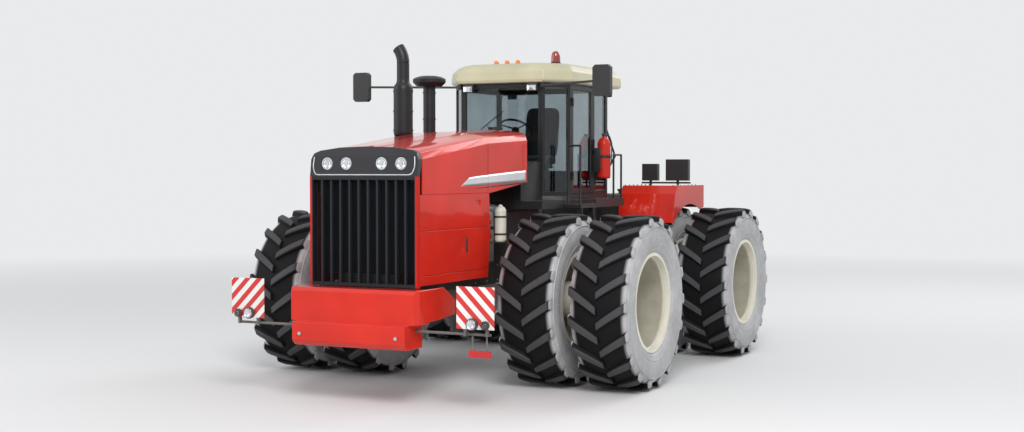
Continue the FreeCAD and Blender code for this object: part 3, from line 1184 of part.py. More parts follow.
def wheel_rims(name, side, back):
    """Hub drum, inner and outer rim with their dished discs, and the studs on the hub."""
    bare, lip, seat = "rim_radius - rim_wall", "rim_radius + rim_lip", "rim_radius"

    def ring(label, rows):
        return turned(label, "x", [("%d * (%s)" % (side, along), radius) for along, radius in rows])

    def rim(label, middle, disc):
        """Rim barrel with flanges and its disc, as one revolved outline."""
        near, far = middle + " - rim_half", middle + " + rim_half"
        return ring(label, (
            (near, bare), (near, lip), (near + " + 22", lip), (near + " + 22", seat),
            (far + " - 22", seat), (far + " - 22", lip), (far, lip), (far, bare),
            (disc + " + 70", bare), (disc + " + 20", "hub_radius + 60"),
            (disc + " + 20", "hub_radius - 20"), (disc, "hub_radius - 20"),
            (disc, "hub_radius + 70"), (disc + " + 40", bare)))

    end = "inner_track + dual_pitch - disc_set + hub_end"
    face = end + " - 40"
    drum = ring(name + "_drum", (
        ("hub_inner", "spindle_radius + fit_gap"), ("hub_inner", "hub_radius"),
        (face, "hub_radius"), (face, "hub_radius - 75"), (end, "hub_radius - 95"),
        (end, "0"), ("hub_inner + 160", "0"),
        ("hub_inner + 160", "spindle_radius + fit_gap")))
    outer = "inner_track + dual_pitch"
    pieces = [drum, rim(name + "_inner_rim", "inner_track", "inner_track + 10"),
              rim(name + "_outer_rim", outer, outer + " - disc_set")]
    for index in range(int(d.wheel_studs)):
        angle = 2 * math.pi * index / d.wheel_studs
        start = face + " - 1" if side > 0 else "-(%s - 1) - 30" % face
        pieces.append(rod("%s_stud_%d" % (name, index), "x", "15", "30", start,
                          "stud_circle * %.6f" % math.cos(angle),
                          "stud_circle * %.6f" % math.sin(angle)))
    keep(name + "_rims", move(fuse(name + "_rims_body", *pieces), "0", at(back), "tyre_radius"))


def tyre_shape():
    """One lugged tyre about the X axis, as a closed shell of flat faces.

    Each half has a ring of slanting lugs whose inner ends lead, and the two rings are half a
    pitch apart. A lug, the floor behind it and the sidewall beside it repeat round the tyre,
    and the whole is turned until a lug's corner is its lowest point.
    """
    count = int(d.lug_pairs)
    pitch = 2 * math.pi / count
    crown, shoulder = d.tyre_radius - d.lug_height, d.tyre_radius - d.lug_height - d.shoulder_drop
    edge, side, bead_x = d.tread_width / 2, d.tyre_width / 2, d.rim_half - d.bead_set
    bead = (d.rim_radius + d.seat_gap) / math.cos(pitch / 2)
    bulge = (bead + crown) / 2 - 10
    slant = math.radians(d.lug_slant)
    foot = d.lug_thick / 2 / math.cos(slant) / crown
    lid = 0.7 * foot
    sweep = math.tan(slant) * edge / d.tyre_radius
    lowest = math.pi - lid
    faces = []

    def place(hand, along, radius, angle):
        return Vector(hand * along, radius * math.sin(lowest + angle), radius * math.cos(lowest + angle))

    def face(*corners):
        faces.append(Part.Face(Part.makePolygon(corners + corners[:1])))

    for hand in (1, -1):
        for index in range(count):
            inner = pitch * (index if hand > 0 else index + 0.5)
            outer = inner + sweep
            a, b = (place(hand, 0, crown, inner + way * foot) for way in (-1, 1))
            c, e = (place(hand, edge, shoulder, outer + way * foot) for way in (1, -1))
            top_a, top_b = (place(hand, 6, d.tyre_radius, inner + way * lid) for way in (-1, 1))
            top_c, top_e = (place(hand, edge - 12, d.tyre_radius, outer + way * lid)
                            for way in (1, -1))
            face(a, b, top_b, top_a)
            face(c, e, top_e, top_c)
            face(b, c, top_c)
            face(b, top_c, top_b)
            face(e, a, top_a)
            face(e, top_a, top_e)
            face(top_a, top_b, top_c)
            face(top_a, top_c, top_e)
            other = [place(hand, 0, crown, inner + pitch / 2 + way * foot) for way in (-1, 1)]
            next_a = place(hand, 0, crown, inner + pitch - foot)
            next_e = place(hand, edge, shoulder, outer + pitch - foot)
            face(b, other[0], c)
            face(other[0], other[1], c)
            face(other[1], next_a, c)
            face(next_a, next_e, c)
            wall, next_wall = (place(hand, side, bulge, angle) for angle in (outer, outer + pitch))
            seat, next_seat = (place(hand, bead_x, bead, angle) for angle in (outer, outer + pitch))
            face(c, e, wall)
            face(c, wall, next_wall)
            face(c, next_wall, next_e)
            face(wall, next_wall, next_seat, seat)
            face(seat, next_seat, place(-hand, bead_x, bead, outer + pitch / 2))
    shell = Part.makeShell(faces)
    shell.sewShape()
    tyre = Part.makeSolid(shell)
    return tyre if tyre.Volume > 0 else tyre.reversed()


def wheels():
    shape = tyre_shape()
    for end, back in (("f", "0"), ("r", "wheelbase")):
        for side, word in ((LEFT, "l"), (RIGHT, "r")):
            name = "wheel_%s%s" % (end, word)
            wheel_rims(name, side, back)
            tyres = []
            for label, track in (("inner", "inner_track"), ("outer", "inner_track + dual_pitch")):
                tyre = solid("%s_%s_tyre" % (name, label), shape.copy())
                tyres.append(move(tyre, "%d * (%s)" % (side, track), at(back), "tyre_radius"))
            keep(name + "_tyres", *tyres)


front_frame()
axle("front_axle", "0")
bumper()
warning_boards()
engine()
nose()
hood()
side_panels()
stacks()
cab_base()
cab()
roof()
cab_inside()
mirrors()
roof_lights()
extinguisher()
steps()
handrails()
yoke()
steering_cylinders()
rear_frame()
axle("rear_axle", "wheelbase")
drawbar()
tank()
fenders()
rear_lamps()
couplers()
wheels()
doc.recompute()

for thing in doc.Objects:
    if "Invalid" in thing.State or "Error" in thing.State:
        raise ValueError("failed to build: " + thing.Name)
os.makedirs("parts", exist_ok=True)
for thing in parts:
    shape = thing.Shape
    if shape.isNull() or not shape.isValid() or not shape.Solids:
        raise ValueError("no valid solid: " + thing.Label)
    shape.exportStep("parts/%s.step" % thing.Label)
print("sub-parts written:", len(parts))
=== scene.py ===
"""Looks of the articulated farm tractor: finishes, smooth tyres and rims, trim and cab fittings.

Metres, +Z up, +X to the tractor's left, the nose towards -Y, origin on the ground. Profiles for
lathe() are pairs of a place along the axis and a radius. Places and radii that a fitting shares
with a solid are the solid's own, less or plus a hair where the two would touch.
"""

import json
import math

import bmesh
import bpy
import numpy as np
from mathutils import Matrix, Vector


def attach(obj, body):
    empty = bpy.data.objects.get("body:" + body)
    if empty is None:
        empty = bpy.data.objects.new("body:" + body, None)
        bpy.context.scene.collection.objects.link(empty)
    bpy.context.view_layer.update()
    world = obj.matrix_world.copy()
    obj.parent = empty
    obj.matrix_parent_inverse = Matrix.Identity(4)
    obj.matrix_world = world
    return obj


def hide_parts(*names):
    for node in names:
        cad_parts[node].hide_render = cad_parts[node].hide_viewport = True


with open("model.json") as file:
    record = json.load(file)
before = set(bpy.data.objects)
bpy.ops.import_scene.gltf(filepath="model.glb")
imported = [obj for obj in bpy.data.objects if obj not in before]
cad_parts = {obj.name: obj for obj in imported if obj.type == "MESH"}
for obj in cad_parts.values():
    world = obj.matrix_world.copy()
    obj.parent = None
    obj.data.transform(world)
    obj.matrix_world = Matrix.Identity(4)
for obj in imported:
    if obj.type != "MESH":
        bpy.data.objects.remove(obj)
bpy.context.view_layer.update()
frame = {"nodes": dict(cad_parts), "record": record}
record = frame["record"]
BODY = {node: body for body, nodes in record["behaviour"]["bodies"].items() for node in nodes}
SLOT = {row["node"]: row["material_slot"] for row in record["subparts"]}
SIDES = ((1, "left"), (-1, "right"))
# Places in metres, kept as the solids have them
FRONT_AXLE, REAR_AXLE, AXLE_HIGH = -0.990, 2.440, 0.975
TYRE_MIDDLES, RIM_DISCS = (1.215, 2.085), (1.225, 1.895)
HOOD_SIDE, PANEL_SIDE, RAIL_SIDE = 0.6555, 0.6432, 0.3402
EXHAUST, INTAKE = (-0.400, -1.710), (-0.400, -1.100)
WEIGHT_FACE, LAMP_FACE, TRIM_FACE = -3.541, -3.3463, -3.229
SIDE_GLASS, ROOF_TOP = 0.790, 3.7703
BEACON, EXTINGUISHER = (0.420, 0.710), (0.910, 1.130)
REAR_LAMP_FACE, OUTLET_FACE = 2.6052, 3.289
# Width of a red and a white stripe on the boards, and where the grille's frame turns red
STRIPE_PITCH, FRAME_EDGE = 0.15, 0.630
BACKDROP = (0.86, 0.87, 0.88, 1)
MERGE = 1e-5


# Node groups and finishes


def add(tree, kind, inputs=None, **settings):
    """Add a node, set its properties, then set or link its inputs by name or number."""
    item = tree.nodes.new(kind)
    for key, value in settings.items():
        setattr(item, key, value)
    for key, value in (inputs or {}).items():
        if isinstance(value, bpy.types.NodeSocket):
            tree.links.new(value, item.inputs[key])
        else:
            item.inputs[key].default_value = value
    return item


def calc(tree, operation, *values, clamp=False):
    """One step of arithmetic on sockets or numbers."""
    return add(tree, "ShaderNodeMath", dict(enumerate(values)), operation=operation,
               use_clamp=clamp).outputs[0]


def times(tree, one, other, clamp=False):
    """The product of two sockets or numbers."""
    return calc(tree, "MULTIPLY", one, other, clamp=clamp)


def blend(tree, share, first, second):
    """Mix two colours by a share from 0 to 1."""
    return add(tree, "ShaderNodeMix", {0: share, 6: first, 7: second}, data_type="RGBA").outputs[2]


def noise(tree, place, scale, detail=3.0, rough=0.55):
    """Fractal noise from 0 to 1."""
    return add(tree, "ShaderNodeTexNoise", {"Vector": place, "Scale": scale, "Detail": detail,
                                            "Roughness": rough}).outputs["Fac"]


def spread(tree, value, low, high, to_low=0.0, to_high=1.0):
    """Carry one range of a value onto another, held at both ends."""
    return add(tree, "ShaderNodeMapRange", {"Value": value, "From Min": low, "From Max": high,
                                            "To Min": to_low, "To Max": to_high}).outputs[0]


def place_of(tree):
    """The shaded point in the object's own coordinates."""
    return add(tree, "ShaderNodeTexCoord").outputs["Object"]


def axes_of(tree):
    """The three coordinates of the shaded point."""
    return add(tree, "ShaderNodeSeparateXYZ", {0: place_of(tree)}).outputs


def height_of(tree, vector):
    """The upward part of a vector."""
    return add(tree, "ShaderNodeSeparateXYZ", {0: vector}).outputs["Z"]


def stored(tree, name):
    """A number that dress() keeps on the points of a mesh."""
    return add(tree, "ShaderNodeAttribute", attribute_name=name).outputs["Fac"]


def effect(name, inputs, outputs, build):
    """A shader node group with named inputs and outputs, filled in by build."""
    tree = bpy.data.node_groups.new(name, "ShaderNodeTree")
    kinds = {"value": "NodeSocketFloat", "colour": "NodeSocketColor"}
    for label, kind, value in inputs:
        tree.interface.new_socket(label, in_out="INPUT", socket_type=kinds[kind]).default_value = value
    for label, kind in outputs:
        tree.interface.new_socket(label, in_out="OUTPUT", socket_type=kinds[kind])
    start, end = tree.nodes.new("NodeGroupInput"), tree.nodes.new("NodeGroupOutput")
    for label, socket in build(tree, start.outputs).items():
        tree.links.new(socket, end.inputs[label])
    return tree


def field_dust(tree, given):
    """Dust that thickens towards the ground and on faces that look up, broken up by noise."""
    place = place_of(tree)
    height = height_of(tree, place)
    upward = height_of(tree, add(tree, "ShaderNodeNewGeometry").outputs["Normal"])
    low = calc(tree, "SUBTRACT", 1.0, calc(tree, "DIVIDE", height, given["Top"]), clamp=True)
    flat = spread(tree, upward, 0.35, 1.0, 0.0, 0.55)
    cloud = spread(tree, noise(tree, place, given["Scale"], 6.0, 0.6), 0.25, 0.80)
    fine = spread(tree, noise(tree, place, 60.0, 3.0), 0.3, 0.75, 0.75, 1.0)
    mask = times(tree, times(tree, calc(tree, "ADD", low, flat), fine),
                 spread(tree, cloud, 0.0, 1.0, 0.35, 1.0))
    mask = times(tree, mask, given["Amount"], clamp=True)
    tone = spread(tree, noise(tree, place, 1.7, 2.0), 0.3, 0.7, 0.88, 1.1)
    varied = add(tree, "ShaderNodeHueSaturation", {"Color": given["Colour"], "Value": tone})
    return {"Colour": blend(tree, mask, varied.outputs[0], given["Dust"]), "Mask": mask}


def worn_edges(tree, given):
    """Rubs where a rounded normal leaves the face's own, which is only along edges."""
    face = add(tree, "ShaderNodeNewGeometry").outputs["Normal"]
    soft = add(tree, "ShaderNodeBevel", {"Radius": 0.008}, samples=4).outputs[0]
    turn = add(tree, "ShaderNodeVectorMath", {0: face, 1: soft}, operation="DOT_PRODUCT")
    patch = spread(tree, noise(tree, place_of(tree), 9.0, 5.0, 0.7), 0.50, 0.60)
    edge = spread(tree, turn.outputs["Value"], 0.985, 0.90)
    mask = times(tree, times(tree, edge, patch), given["Amount"], clamp=True)
    return {"Colour": blend(tree, mask, given["Colour"], given["Rub"])}


def surface_grain(tree, given):
    """Height of a cast or moulded grain with a slower wave of unevenness under it."""
    place = place_of(tree)
    fine = noise(tree, place, given["Scale"], 2.0)
    slow = noise(tree, place, given["Slow"], 2.0)
    return {"Height": calc(tree, "ADD", fine, times(tree, slow, 1.6))}


WEATHER = effect("field_dust", (("Colour", "colour", (0.5, 0.5, 0.5, 1)),
                                ("Dust", "colour", (0.42, 0.37, 0.30, 1)), ("Amount", "value", 0.4),
                                ("Top", "value", 1.8), ("Scale", "value", 2.5)),
                 (("Colour", "colour"), ("Mask", "value")), field_dust)
RUBS = effect("worn_edges", (("Colour", "colour", (0.5, 0.5, 0.5, 1)),
                             ("Rub", "colour", (0.6, 0.6, 0.6, 1)), ("Amount", "value", 0.4)),
              (("Colour", "colour"),), worn_edges)
GRAIN = effect("surface_grain", (("Scale", "value", 300.0), ("Slow", "value", 6.0)),
               (("Height", "value"),), surface_grain)


FINISH = {}  # Every material by its name. A slot's own material has the slot's name.


def blank(name, **sockets):
    """Start a material, kept in FINISH under its name, and set some of its shader's sockets."""
    material = FINISH[name] = bpy.data.materials.new(name)
    material.use_nodes = True
    shader = material.node_tree.nodes["Principled BSDF"]
    for label, value in sockets.items():
        shader.inputs[label.replace("_", " ")].default_value = value
    return material.node_tree, shader


def finish(name, colour, rough, metal=0.0, coat=0.0, dust=0.4, top=1.8, rub=None, grain=300.0,
           slow=6.0, depth=0.0004, pattern=None, **sockets):
    """A weathered surface: base colour or a pattern of its own, dust, rubbed edges and grain."""
    tree, shader = blank(name, Metallic=metal, Coat_Weight=coat, **sockets)
    base = (*colour, 1.0)
    height = None
    if pattern:
        base, height = pattern(tree, base)
    if rub:
        rubs = add(tree, "ShaderNodeGroup", {"Colour": base, "Rub": (*rub, 1.0)}, node_tree=RUBS)
        base = rubs.outputs["Colour"]
    weather = add(tree, "ShaderNodeGroup", {"Colour": base, "Amount": dust, "Top": top},
                  node_tree=WEATHER)
    tree.links.new(weather.outputs["Colour"], shader.inputs["Base Color"])
    tree.links.new(spread(tree, weather.outputs["Mask"], 0.0, 1.0, rough, 0.85),
                   shader.inputs["Roughness"])
    grains = add(tree, "ShaderNodeGroup", {"Scale": grain, "Slow": slow}, node_tree=GRAIN)
    bump = add(tree, "ShaderNodeBump", {"Height": grains.outputs["Height"], "Distance": depth,
                                        "Strength": 1.0})
    if height is not None:
        bump = add(tree, "ShaderNodeBump", {"Height": height[0], "Distance": height[1],
                                            "Normal": bump.outputs[0]})
    tree.links.new(bump.outputs[0], shader.inputs["Normal"])


def warning_stripes(tree, base):
    """Red and white bars at 45 degrees, sloping the same way from the middle on both sides."""
    x, _, z = axes_of(tree)
    run = calc(tree, "DIVIDE", calc(tree, "ADD", calc(tree, "ABSOLUTE", x), z), STRIPE_PITCH)
    bar = calc(tree, "GREATER_THAN", calc(tree, "FRACT", run), 0.5)
    return blend(tree, bar, base, (0.62, 0.012, 0.012, 1)), None


def red_edges_painted_shade(tree, base):
    """The outer edges of the grille's frame carry the panels' red, painted darker as shade."""
    edge = calc(tree, "GREATER_THAN", calc(tree, "ABSOLUTE", axes_of(tree)[0]), FRAME_EDGE)
    # A darker red than the panels' own, as painted shade
    return blend(tree, edge, base, (0.50, 0.014, 0.006, 1)), None


def fins(tree, base):
    """Upright cooling fins, as fine dark lines and a small height."""
    x, _, z = axes_of(tree)
    wave = calc(tree, "SINE", times(tree, x, 900.0))
    rows = calc(tree, "SINE", times(tree, z, 300.0))
    both = times(tree, wave, rows)
    return blend(tree, spread(tree, both, -1, 1), (0.006, 0.006, 0.006, 1), base), (both, 0.0003)


def weave(tree, base):
    """Cloth threads over and under each other on all three axes."""
    x, y, z = axes_of(tree)
    across = calc(tree, "SINE", times(tree, x, 1800.0))
    along = calc(tree, "SINE", times(tree, calc(tree, "ADD", y, z), 1800.0))
    thread = times(tree, across, along)
    return blend(tree, spread(tree, thread, -1, 1), base, (0.11, 0.11, 0.12, 1)), (thread, 0.0006)


def rubber_rings(tree, base):
    """Pale dusty sidewall and lug ends, and lug tops painted lighter as a highlight above a dark floor.

    The tyre's own radius and the distance from its middle plane say which is which.
    """
    radius, overhang = stored(tree, "radius"), stored(tree, "overhang")
    below_shoulder = spread(tree, radius, 0.903, 0.889)
    lug_end = spread(tree, overhang, 0.317, 0.326)
    off_the_rim = spread(tree, radius, 0.54, 0.57)
    side = times(tree, calc(tree, "MAXIMUM", below_shoulder, lug_end), off_the_rim)
    patch = spread(tree, noise(tree, place_of(tree), 6.0, 6.0, 0.72), 0.32, 0.62, 0.78, 1.0)
    # Painted highlight: lug tops lighter than the rubber between them
    lug_top_highlight = spread(tree, radius, 0.950, 0.968)
    base = blend(tree, lug_top_highlight, base, (0.066, 0.067, 0.072, 1))
    ring = calc(tree, "SINE", times(tree, radius, 420.0))
    pale = times(tree, side, patch)
    return blend(tree, pale, base, (0.54, 0.54, 0.55, 1)), (times(tree, ring, side), 0.0015)


def dish_painted_shade(tree, base):
    """Painted shade: the rim's dish is darker than its flange and the outermost ring of its barrel."""
    # Painted shade that deepens from the barrel's outer ring into the dish, broken up by noise
    inside = spread(tree, stored(tree, "overhang"), 0.262, 0.190, 0.0, 0.85)
    patch = spread(tree, noise(tree, place_of(tree), 4.0, 5.0, 0.65), 0.3, 0.7, 0.75, 1.0)
    return blend(tree, times(tree, inside, patch), base, (0.27, 0.25, 0.19, 1)), None


def clear(name, tint, rough):
    """Clear glass of one smoothness, its faint smears only in the tint."""
    tree, shader = blank(name, Transmission_Weight=1.0, IOR=1.45, Roughness=rough)
    smear = spread(tree, noise(tree, place_of(tree), 2.2, 4.0, 0.6), 0.35, 0.75)
    smeared = (*(0.86 * value for value in tint), 1)
    tree.links.new(blend(tree, smear, (*tint, 1), smeared), shader.inputs["Base Color"])


def polish_tops(material, sides, tops):
    """More clear coat where the surface faces up, as on a washed hood."""
    tree = material.node_tree
    up = height_of(tree, add(tree, "ShaderNodeTexCoord").outputs["Normal"])
    tree.links.new(spread(tree, up, 0.45, 0.85, sides, tops),
                   tree.nodes["Principled BSDF"].inputs["Coat Weight"])


finish("red_paint", (0.64, 0.019, 0.007), 0.36, coat=0.55, dust=0.05, top=1.5, rub=(0.34, 0.20, 0.17),
       grain=500.0, slow=5.0, depth=0.00008, Coat_Roughness=0.05, Specular_IOR_Level=0.2)
finish("black_paint", (0.012, 0.012, 0.014), 0.42, dust=0.22, top=2.4, rub=(0.22, 0.21, 0.20),
       depth=0.0002, Specular_IOR_Level=0.35)
finish("cream_paint", (0.76, 0.73, 0.61), 0.36, coat=0.2, dust=0.26, top=1.9, rub=(0.30, 0.25, 0.20),
       grain=260.0, depth=0.0002)
finish("roof_paint", (0.55, 0.52, 0.35), 0.42, coat=0.10, dust=0.20, top=1.0, rub=(0.5, 0.47, 0.40),
       grain=180.0, depth=0.0003)
finish("board_paint", (0.80, 0.80, 0.77), 0.34, coat=0.3, dust=0.18, top=1.6, grain=700.0, depth=0.0001,
       pattern=warning_stripes)
finish("black_plastic", (0.020, 0.020, 0.021), 0.52, dust=0.28, top=2.2, grain=900.0, depth=0.0003)
finish("tyre_rubber", (0.005, 0.005, 0.006), 0.70, dust=0.02, top=1.0, grain=160.0, slow=30.0,
       depth=0.0006, pattern=rubber_rings, Specular_IOR_Level=0.2)
clear("clear_glass", (0.48, 0.54, 0.56), 0.0)
clear("lamp_lens", (0.96, 0.97, 0.98), 0.02)
finish("red_lens", (0.52, 0.006, 0.012), 0.20, coat=0.3, dust=0.04, depth=0.0003)
finish("amber_lens", (0.80, 0.18, 0.015), 0.16, coat=0.8, dust=0.10, depth=0.0003)
finish("beacon_lens", (0.30, 0.020, 0.014), 0.14, coat=0.9, dust=0.10, depth=0.0003)
finish("cast_grey", (0.075, 0.075, 0.078), 0.58, dust=0.55, top=1.9, rub=(0.28, 0.27, 0.26), grain=120.0,
       depth=0.0009)
finish("bright_steel", (0.62, 0.62, 0.63), 0.20, metal=1.0, dust=0.22, top=2.0, grain=400.0,
       depth=0.00008)
finish("seat_cloth", (0.045, 0.045, 0.050), 0.85, dust=0.10, pattern=weave, Sheen_Weight=0.3)
finish("engine_paint", (0.42, 0.42, 0.43), 0.42, metal=0.4, dust=0.42, top=2.4, rub=(0.5, 0.5, 0.5),
       grain=90.0, depth=0.001)
finish("core_grey", (0.016, 0.016, 0.017), 0.60, metal=0.2, dust=0.04, top=2.0, pattern=fins,
       Specular_IOR_Level=0.2)
finish("stripe_silver", (0.66, 0.67, 0.70), 0.26, metal=0.35, coat=0.4, dust=0.12, top=1.0, grain=600.0,
       depth=0.00006)
finish("charcoal_paint", (0.022, 0.022, 0.026), 0.40, coat=0.20, dust=0.06, top=2.0, rub=(0.2, 0.2, 0.2),
       depth=0.0002, Specular_IOR_Level=0.3)
# Cream rims with painted shade in the dish
finish("rim_paint", (0.80, 0.77, 0.65), 0.36, coat=0.2, dust=0.12, top=1.9, rub=(0.30, 0.25, 0.20),
       grain=260.0, depth=0.0002, pattern=dish_painted_shade)
finish("grille_black", (0.003, 0.004, 0.006), 0.60, dust=0.01, top=1.6, grain=600.0, depth=0.0002,
       Specular_IOR_Level=0.15)
# Near-black frame whose outer edges take a red darkened as painted shade
finish("grille_frame", (0.016, 0.018, 0.023), 0.50, dust=0.02, top=1.6, grain=600.0, depth=0.0001,
       pattern=red_edges_painted_shade, Specular_IOR_Level=0.25)
finish("lamp_reflector", (0.85, 0.86, 0.88), 0.12, metal=1.0, dust=0.03, depth=0.0002)
finish("mirror_glass", (0.80, 0.82, 0.84), 0.03, metal=1.0, dust=0.06, depth=0.00001)
polish_tops(FINISH["red_paint"], 0.35, 1.0)


# Surfaces as grids of points, and the pieces made of them


def quads(points):
    """Corner points and four-sided faces of one grid or of a stack of like grids."""
    rows, columns = points.shape[-3:-1]
    copies = points.size // (rows * columns * 3)
    index = np.arange(copies * rows * columns).reshape(copies, rows, columns)
    faces = np.stack((index[:, :-1, :-1], index[:, 1:, :-1], index[:, 1:, 1:], index[:, :-1, 1:]), -1)
    return points.reshape(-1, 3), faces.reshape(-1, 4)


def piece(name, slot, *grids, body="front", **how):
    """Join grids to one mesh and dress it, as how says. Most ride on the front half."""
    corners, faces, count = [], [], 0
    for grid in grids:
        spots, cells = quads(np.asarray(grid, dtype=float))
        corners.append(spots)
        faces.append(cells + count)
        count += len(spots)
    mesh = bpy.data.meshes.new(name)
    mesh.from_pydata(np.concatenate(corners).tolist(), [], np.concatenate(faces).tolist())
    return dress(name, mesh, body, slot, **how)


def placed(name, data):
    """A new object in the scene."""
    thing = bpy.data.objects.new(name, data)
    bpy.context.scene.collection.objects.link(thing)
    return thing


def dress(name, mesh, body, slot, look=None, sharp=35, wall=None, rounding=None, closed=True,
          join=False, replaces=(), radius_about=None):
    """Merge seams and poles, shade, give a finish and modifiers, and ride the body.

    With join, faces that lie flat within half a degree become one, which a rounding needs.
    A wheel's piece also keeps each point's radius and its distance from the tyre's middle plane.
    """
    work = bmesh.new()
    work.from_mesh(mesh)
    bmesh.ops.remove_doubles(work, verts=work.verts, dist=MERGE)
    if join:
        bmesh.ops.dissolve_limit(work, angle_limit=math.radians(0.5), verts=work.verts,
                                 edges=work.edges)
    if closed:
        bmesh.ops.recalc_face_normals(work, faces=work.faces)
    work.to_mesh(mesh)
    work.free()
    mesh.polygons.foreach_set("use_smooth", np.ones(len(mesh.polygons), dtype=bool))
    mesh.set_sharp_from_angle(angle=math.radians(sharp))
    if radius_about is not None:
        spots = np.empty(len(mesh.vertices) * 3)
        mesh.vertices.foreach_get("co", spots)
        x, y, z = spots.reshape(-1, 3).T
        across = np.abs(np.abs(x)[:, None] - np.array(TYRE_MIDDLES)).min(axis=1)
        for label, values in (("radius", np.hypot(y - radius_about, z - AXLE_HIGH)), ("overhang", across)):
            mesh.attributes.new(label, "FLOAT", "POINT").data.foreach_set("value", values)
    thing = placed(name, mesh)
    mesh.materials.append(FINISH[look or slot])
    if wall:
        solid = thing.modifiers.new("wall", "SOLIDIFY")
        solid.thickness, solid.offset = wall, 0.0
    if rounding:
        soft = thing.modifiers.new("rounding", "BEVEL")
        soft.width, soft.segments, soft.angle_limit = rounding, 2, math.radians(32)
        soft.harden_normals = True
    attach(thing, body)
    if replaces:
        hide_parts(*replaces)
    return thing


def rounded(node, width, look=None, join=True):
    """Stand for a CAD node with a copy of its mesh whose edges are rounded."""
    mesh = frame["nodes"][node].data.copy()
    mesh.materials.clear()
    mesh.name = node + "_rounded"
    dress(node + "_skin", mesh, BODY[node], SLOT[node], look=look, sharp=32, rounding=width,
          closed=False, join=join, replaces=(node,))


AXES = {"x": np.eye(3)[[0, 1, 2]], "y": np.eye(3)[[1, 2, 0]], "z": np.eye(3)[[2, 0, 1]]}


def lathe(profile, centre=(0, 0, 0), axis="z", steps=64):
    """Each (along, radius) pair of the profile is carried round the axis in equal steps."""
    along, out, up = AXES[axis] if isinstance(axis, str) else axis
    rows = np.asarray(profile, dtype=float)
    turn = np.linspace(0, 2 * np.pi, steps + 1)[None, :, None]
    ring = np.cos(turn) * out + np.sin(turn) * up
    return np.asarray(centre) + rows[:, None, :1] * along + rows[:, None, 1:] * ring


def flipped(axis):
    """An axis of AXES with its own direction turned about."""
    along, out, up = AXES[axis]
    return -along, out, up


def hoop(middle, inner, outer, half):
    """Section of a flat band about a pipe, for lathe."""
    return (middle - half, inner), (middle - half, outer), (middle + half, outer), (middle + half, inner)


def eased(corners, count=48, passes=3):
    """A polyline at equal steps along its length, with its corners worn round by averaging."""
    line = np.asarray(corners, dtype=float)
    walk = np.concatenate(([0], np.cumsum(np.linalg.norm(np.diff(line, axis=0), axis=1))))
    steps = np.linspace(0, walk[-1], count)
    line = np.stack([np.interp(steps, walk, line[:, k]) for k in range(line.shape[1])], -1)
    for _ in range(passes):
        line[1:-1] = 0.25 * line[:-2] + 0.5 * line[1:-1] + 0.25 * line[2:]
    return line


def sections(path, radius, sides, side=None):
    """Circles square to a path. They start on the given side, or on one that suits most paths."""
    heading = np.gradient(path, axis=0)
    heading /= np.linalg.norm(heading, axis=1)[:, None]
    if side is None:
        side = np.cross(heading, (0.31, 0.52, 0.79))
        side /= np.linalg.norm(side, axis=1)[:, None]
    side = side + 0 * heading
    up = np.cross(heading, side)
    turn = np.linspace(0, 2 * np.pi, sides + 1)[None, :, None]
    return path[:, None] + radius * (np.cos(turn) * side[:, None] + np.sin(turn) * up[:, None])


def tube(path, radius, sides=12):
    """A round section carried along a path, with both ends drawn in to a point on the end face."""
    path = np.asarray(path, dtype=float)
    first, last = (np.repeat(end[:, None], sides + 1, 1) for end in (path[:1], path[-1:]))
    return np.concatenate((first, sections(path, radius, sides), last))


def brick(low, high, rounding=0.004, axis=2):
    """A rounded rectangle carried along an axis, drawn in near both ends."""
    low, high = np.asarray(low, float), np.asarray(high, float)
    rounding = min(rounding, 0.49 * float((high - low).min()))
    order = [(axis + 1) % 3, (axis + 2) % 3, axis]
    middle, half = (low + high) / 2, (high - low) / 2
    quarter = np.linspace(0, np.pi / 2, 4)
    corners = []
    for index, (sx, sy) in enumerate(((1, 1), (-1, 1), (-1, -1), (1, -1))):
        turn = quarter + index * np.pi / 2
        corners.append(np.stack((np.cos(turn), np.sin(turn), np.full(4, sx), np.full(4, sy)), -1))
    ring = np.concatenate(corners + [corners[0][:1]])
    rows = []
    ends = ((-1, 0.0, True), (-1, 0.0, False), (-1, 0.3, False), (-1, 1.0, False),
            (1, 1.0, False), (1, 0.3, False), (1, 0.0, False), (1, 0.0, True))
    for sign, rise, pole in ends:
        inset = rounding * (1 - math.sqrt(1 - (1 - rise) ** 2))
        bow = max(rounding - inset, 1e-4)
        u = ring[:, 2] * (half[order[0]] - rounding) + ring[:, 0] * bow
        v = ring[:, 3] * (half[order[1]] - rounding) + ring[:, 1] * bow
        w = np.full(len(ring), sign * (half[order[2]] - rounding * rise))
        if pole:
            u, v = 0 * u, 0 * v
        row = np.empty((len(ring), 3))
        row[:, order[0]], row[:, order[1]], row[:, order[2]] = u, v, w
        rows.append(row + middle)
    return np.stack(rows)


def studs(centres, axis, radius, height, sides=6):
    """Bolt heads or nuts with a small chamfer, one like grid for each centre."""
    profile = ((0, 0), (0, radius), (0.75 * height, radius), (height, 0.85 * radius), (height, 0))
    one = lathe(profile, (0, 0, 0), axis, sides)
    return np.asarray(centres, dtype=float)[:, None, None, :] + one


def circle(centre, axis, radius, count, start=0.0):
    """Points at equal turns on a circle about an axis."""
    along, out, up = AXES[axis]
    turn = (start + np.arange(count) * 2 * np.pi / count)[:, None]
    return np.asarray(centre) + radius * (np.cos(turn) * out + np.sin(turn) * up)


# Wheels


def tyre_carcass(middle, axle):
    """Profile of sidewall, shoulder and crown, worn round at its corners, turned about the axle."""
    half = ((0.262, 0.536), (0.300, 0.562), (0.326, 0.625), (0.343, 0.700), (0.345, 0.770),
            (0.336, 0.835), (0.322, 0.885), (0.250, 0.908), (0.120, 0.920), (0.0, 0.924))
    outline = list(half) + [(-x, r) for x, r in reversed(half[:-1])]
    outline = np.concatenate((eased(outline, 56), [half[0]]))
    return lathe(outline, (middle, axle, AXLE_HIGH), "x", 144)


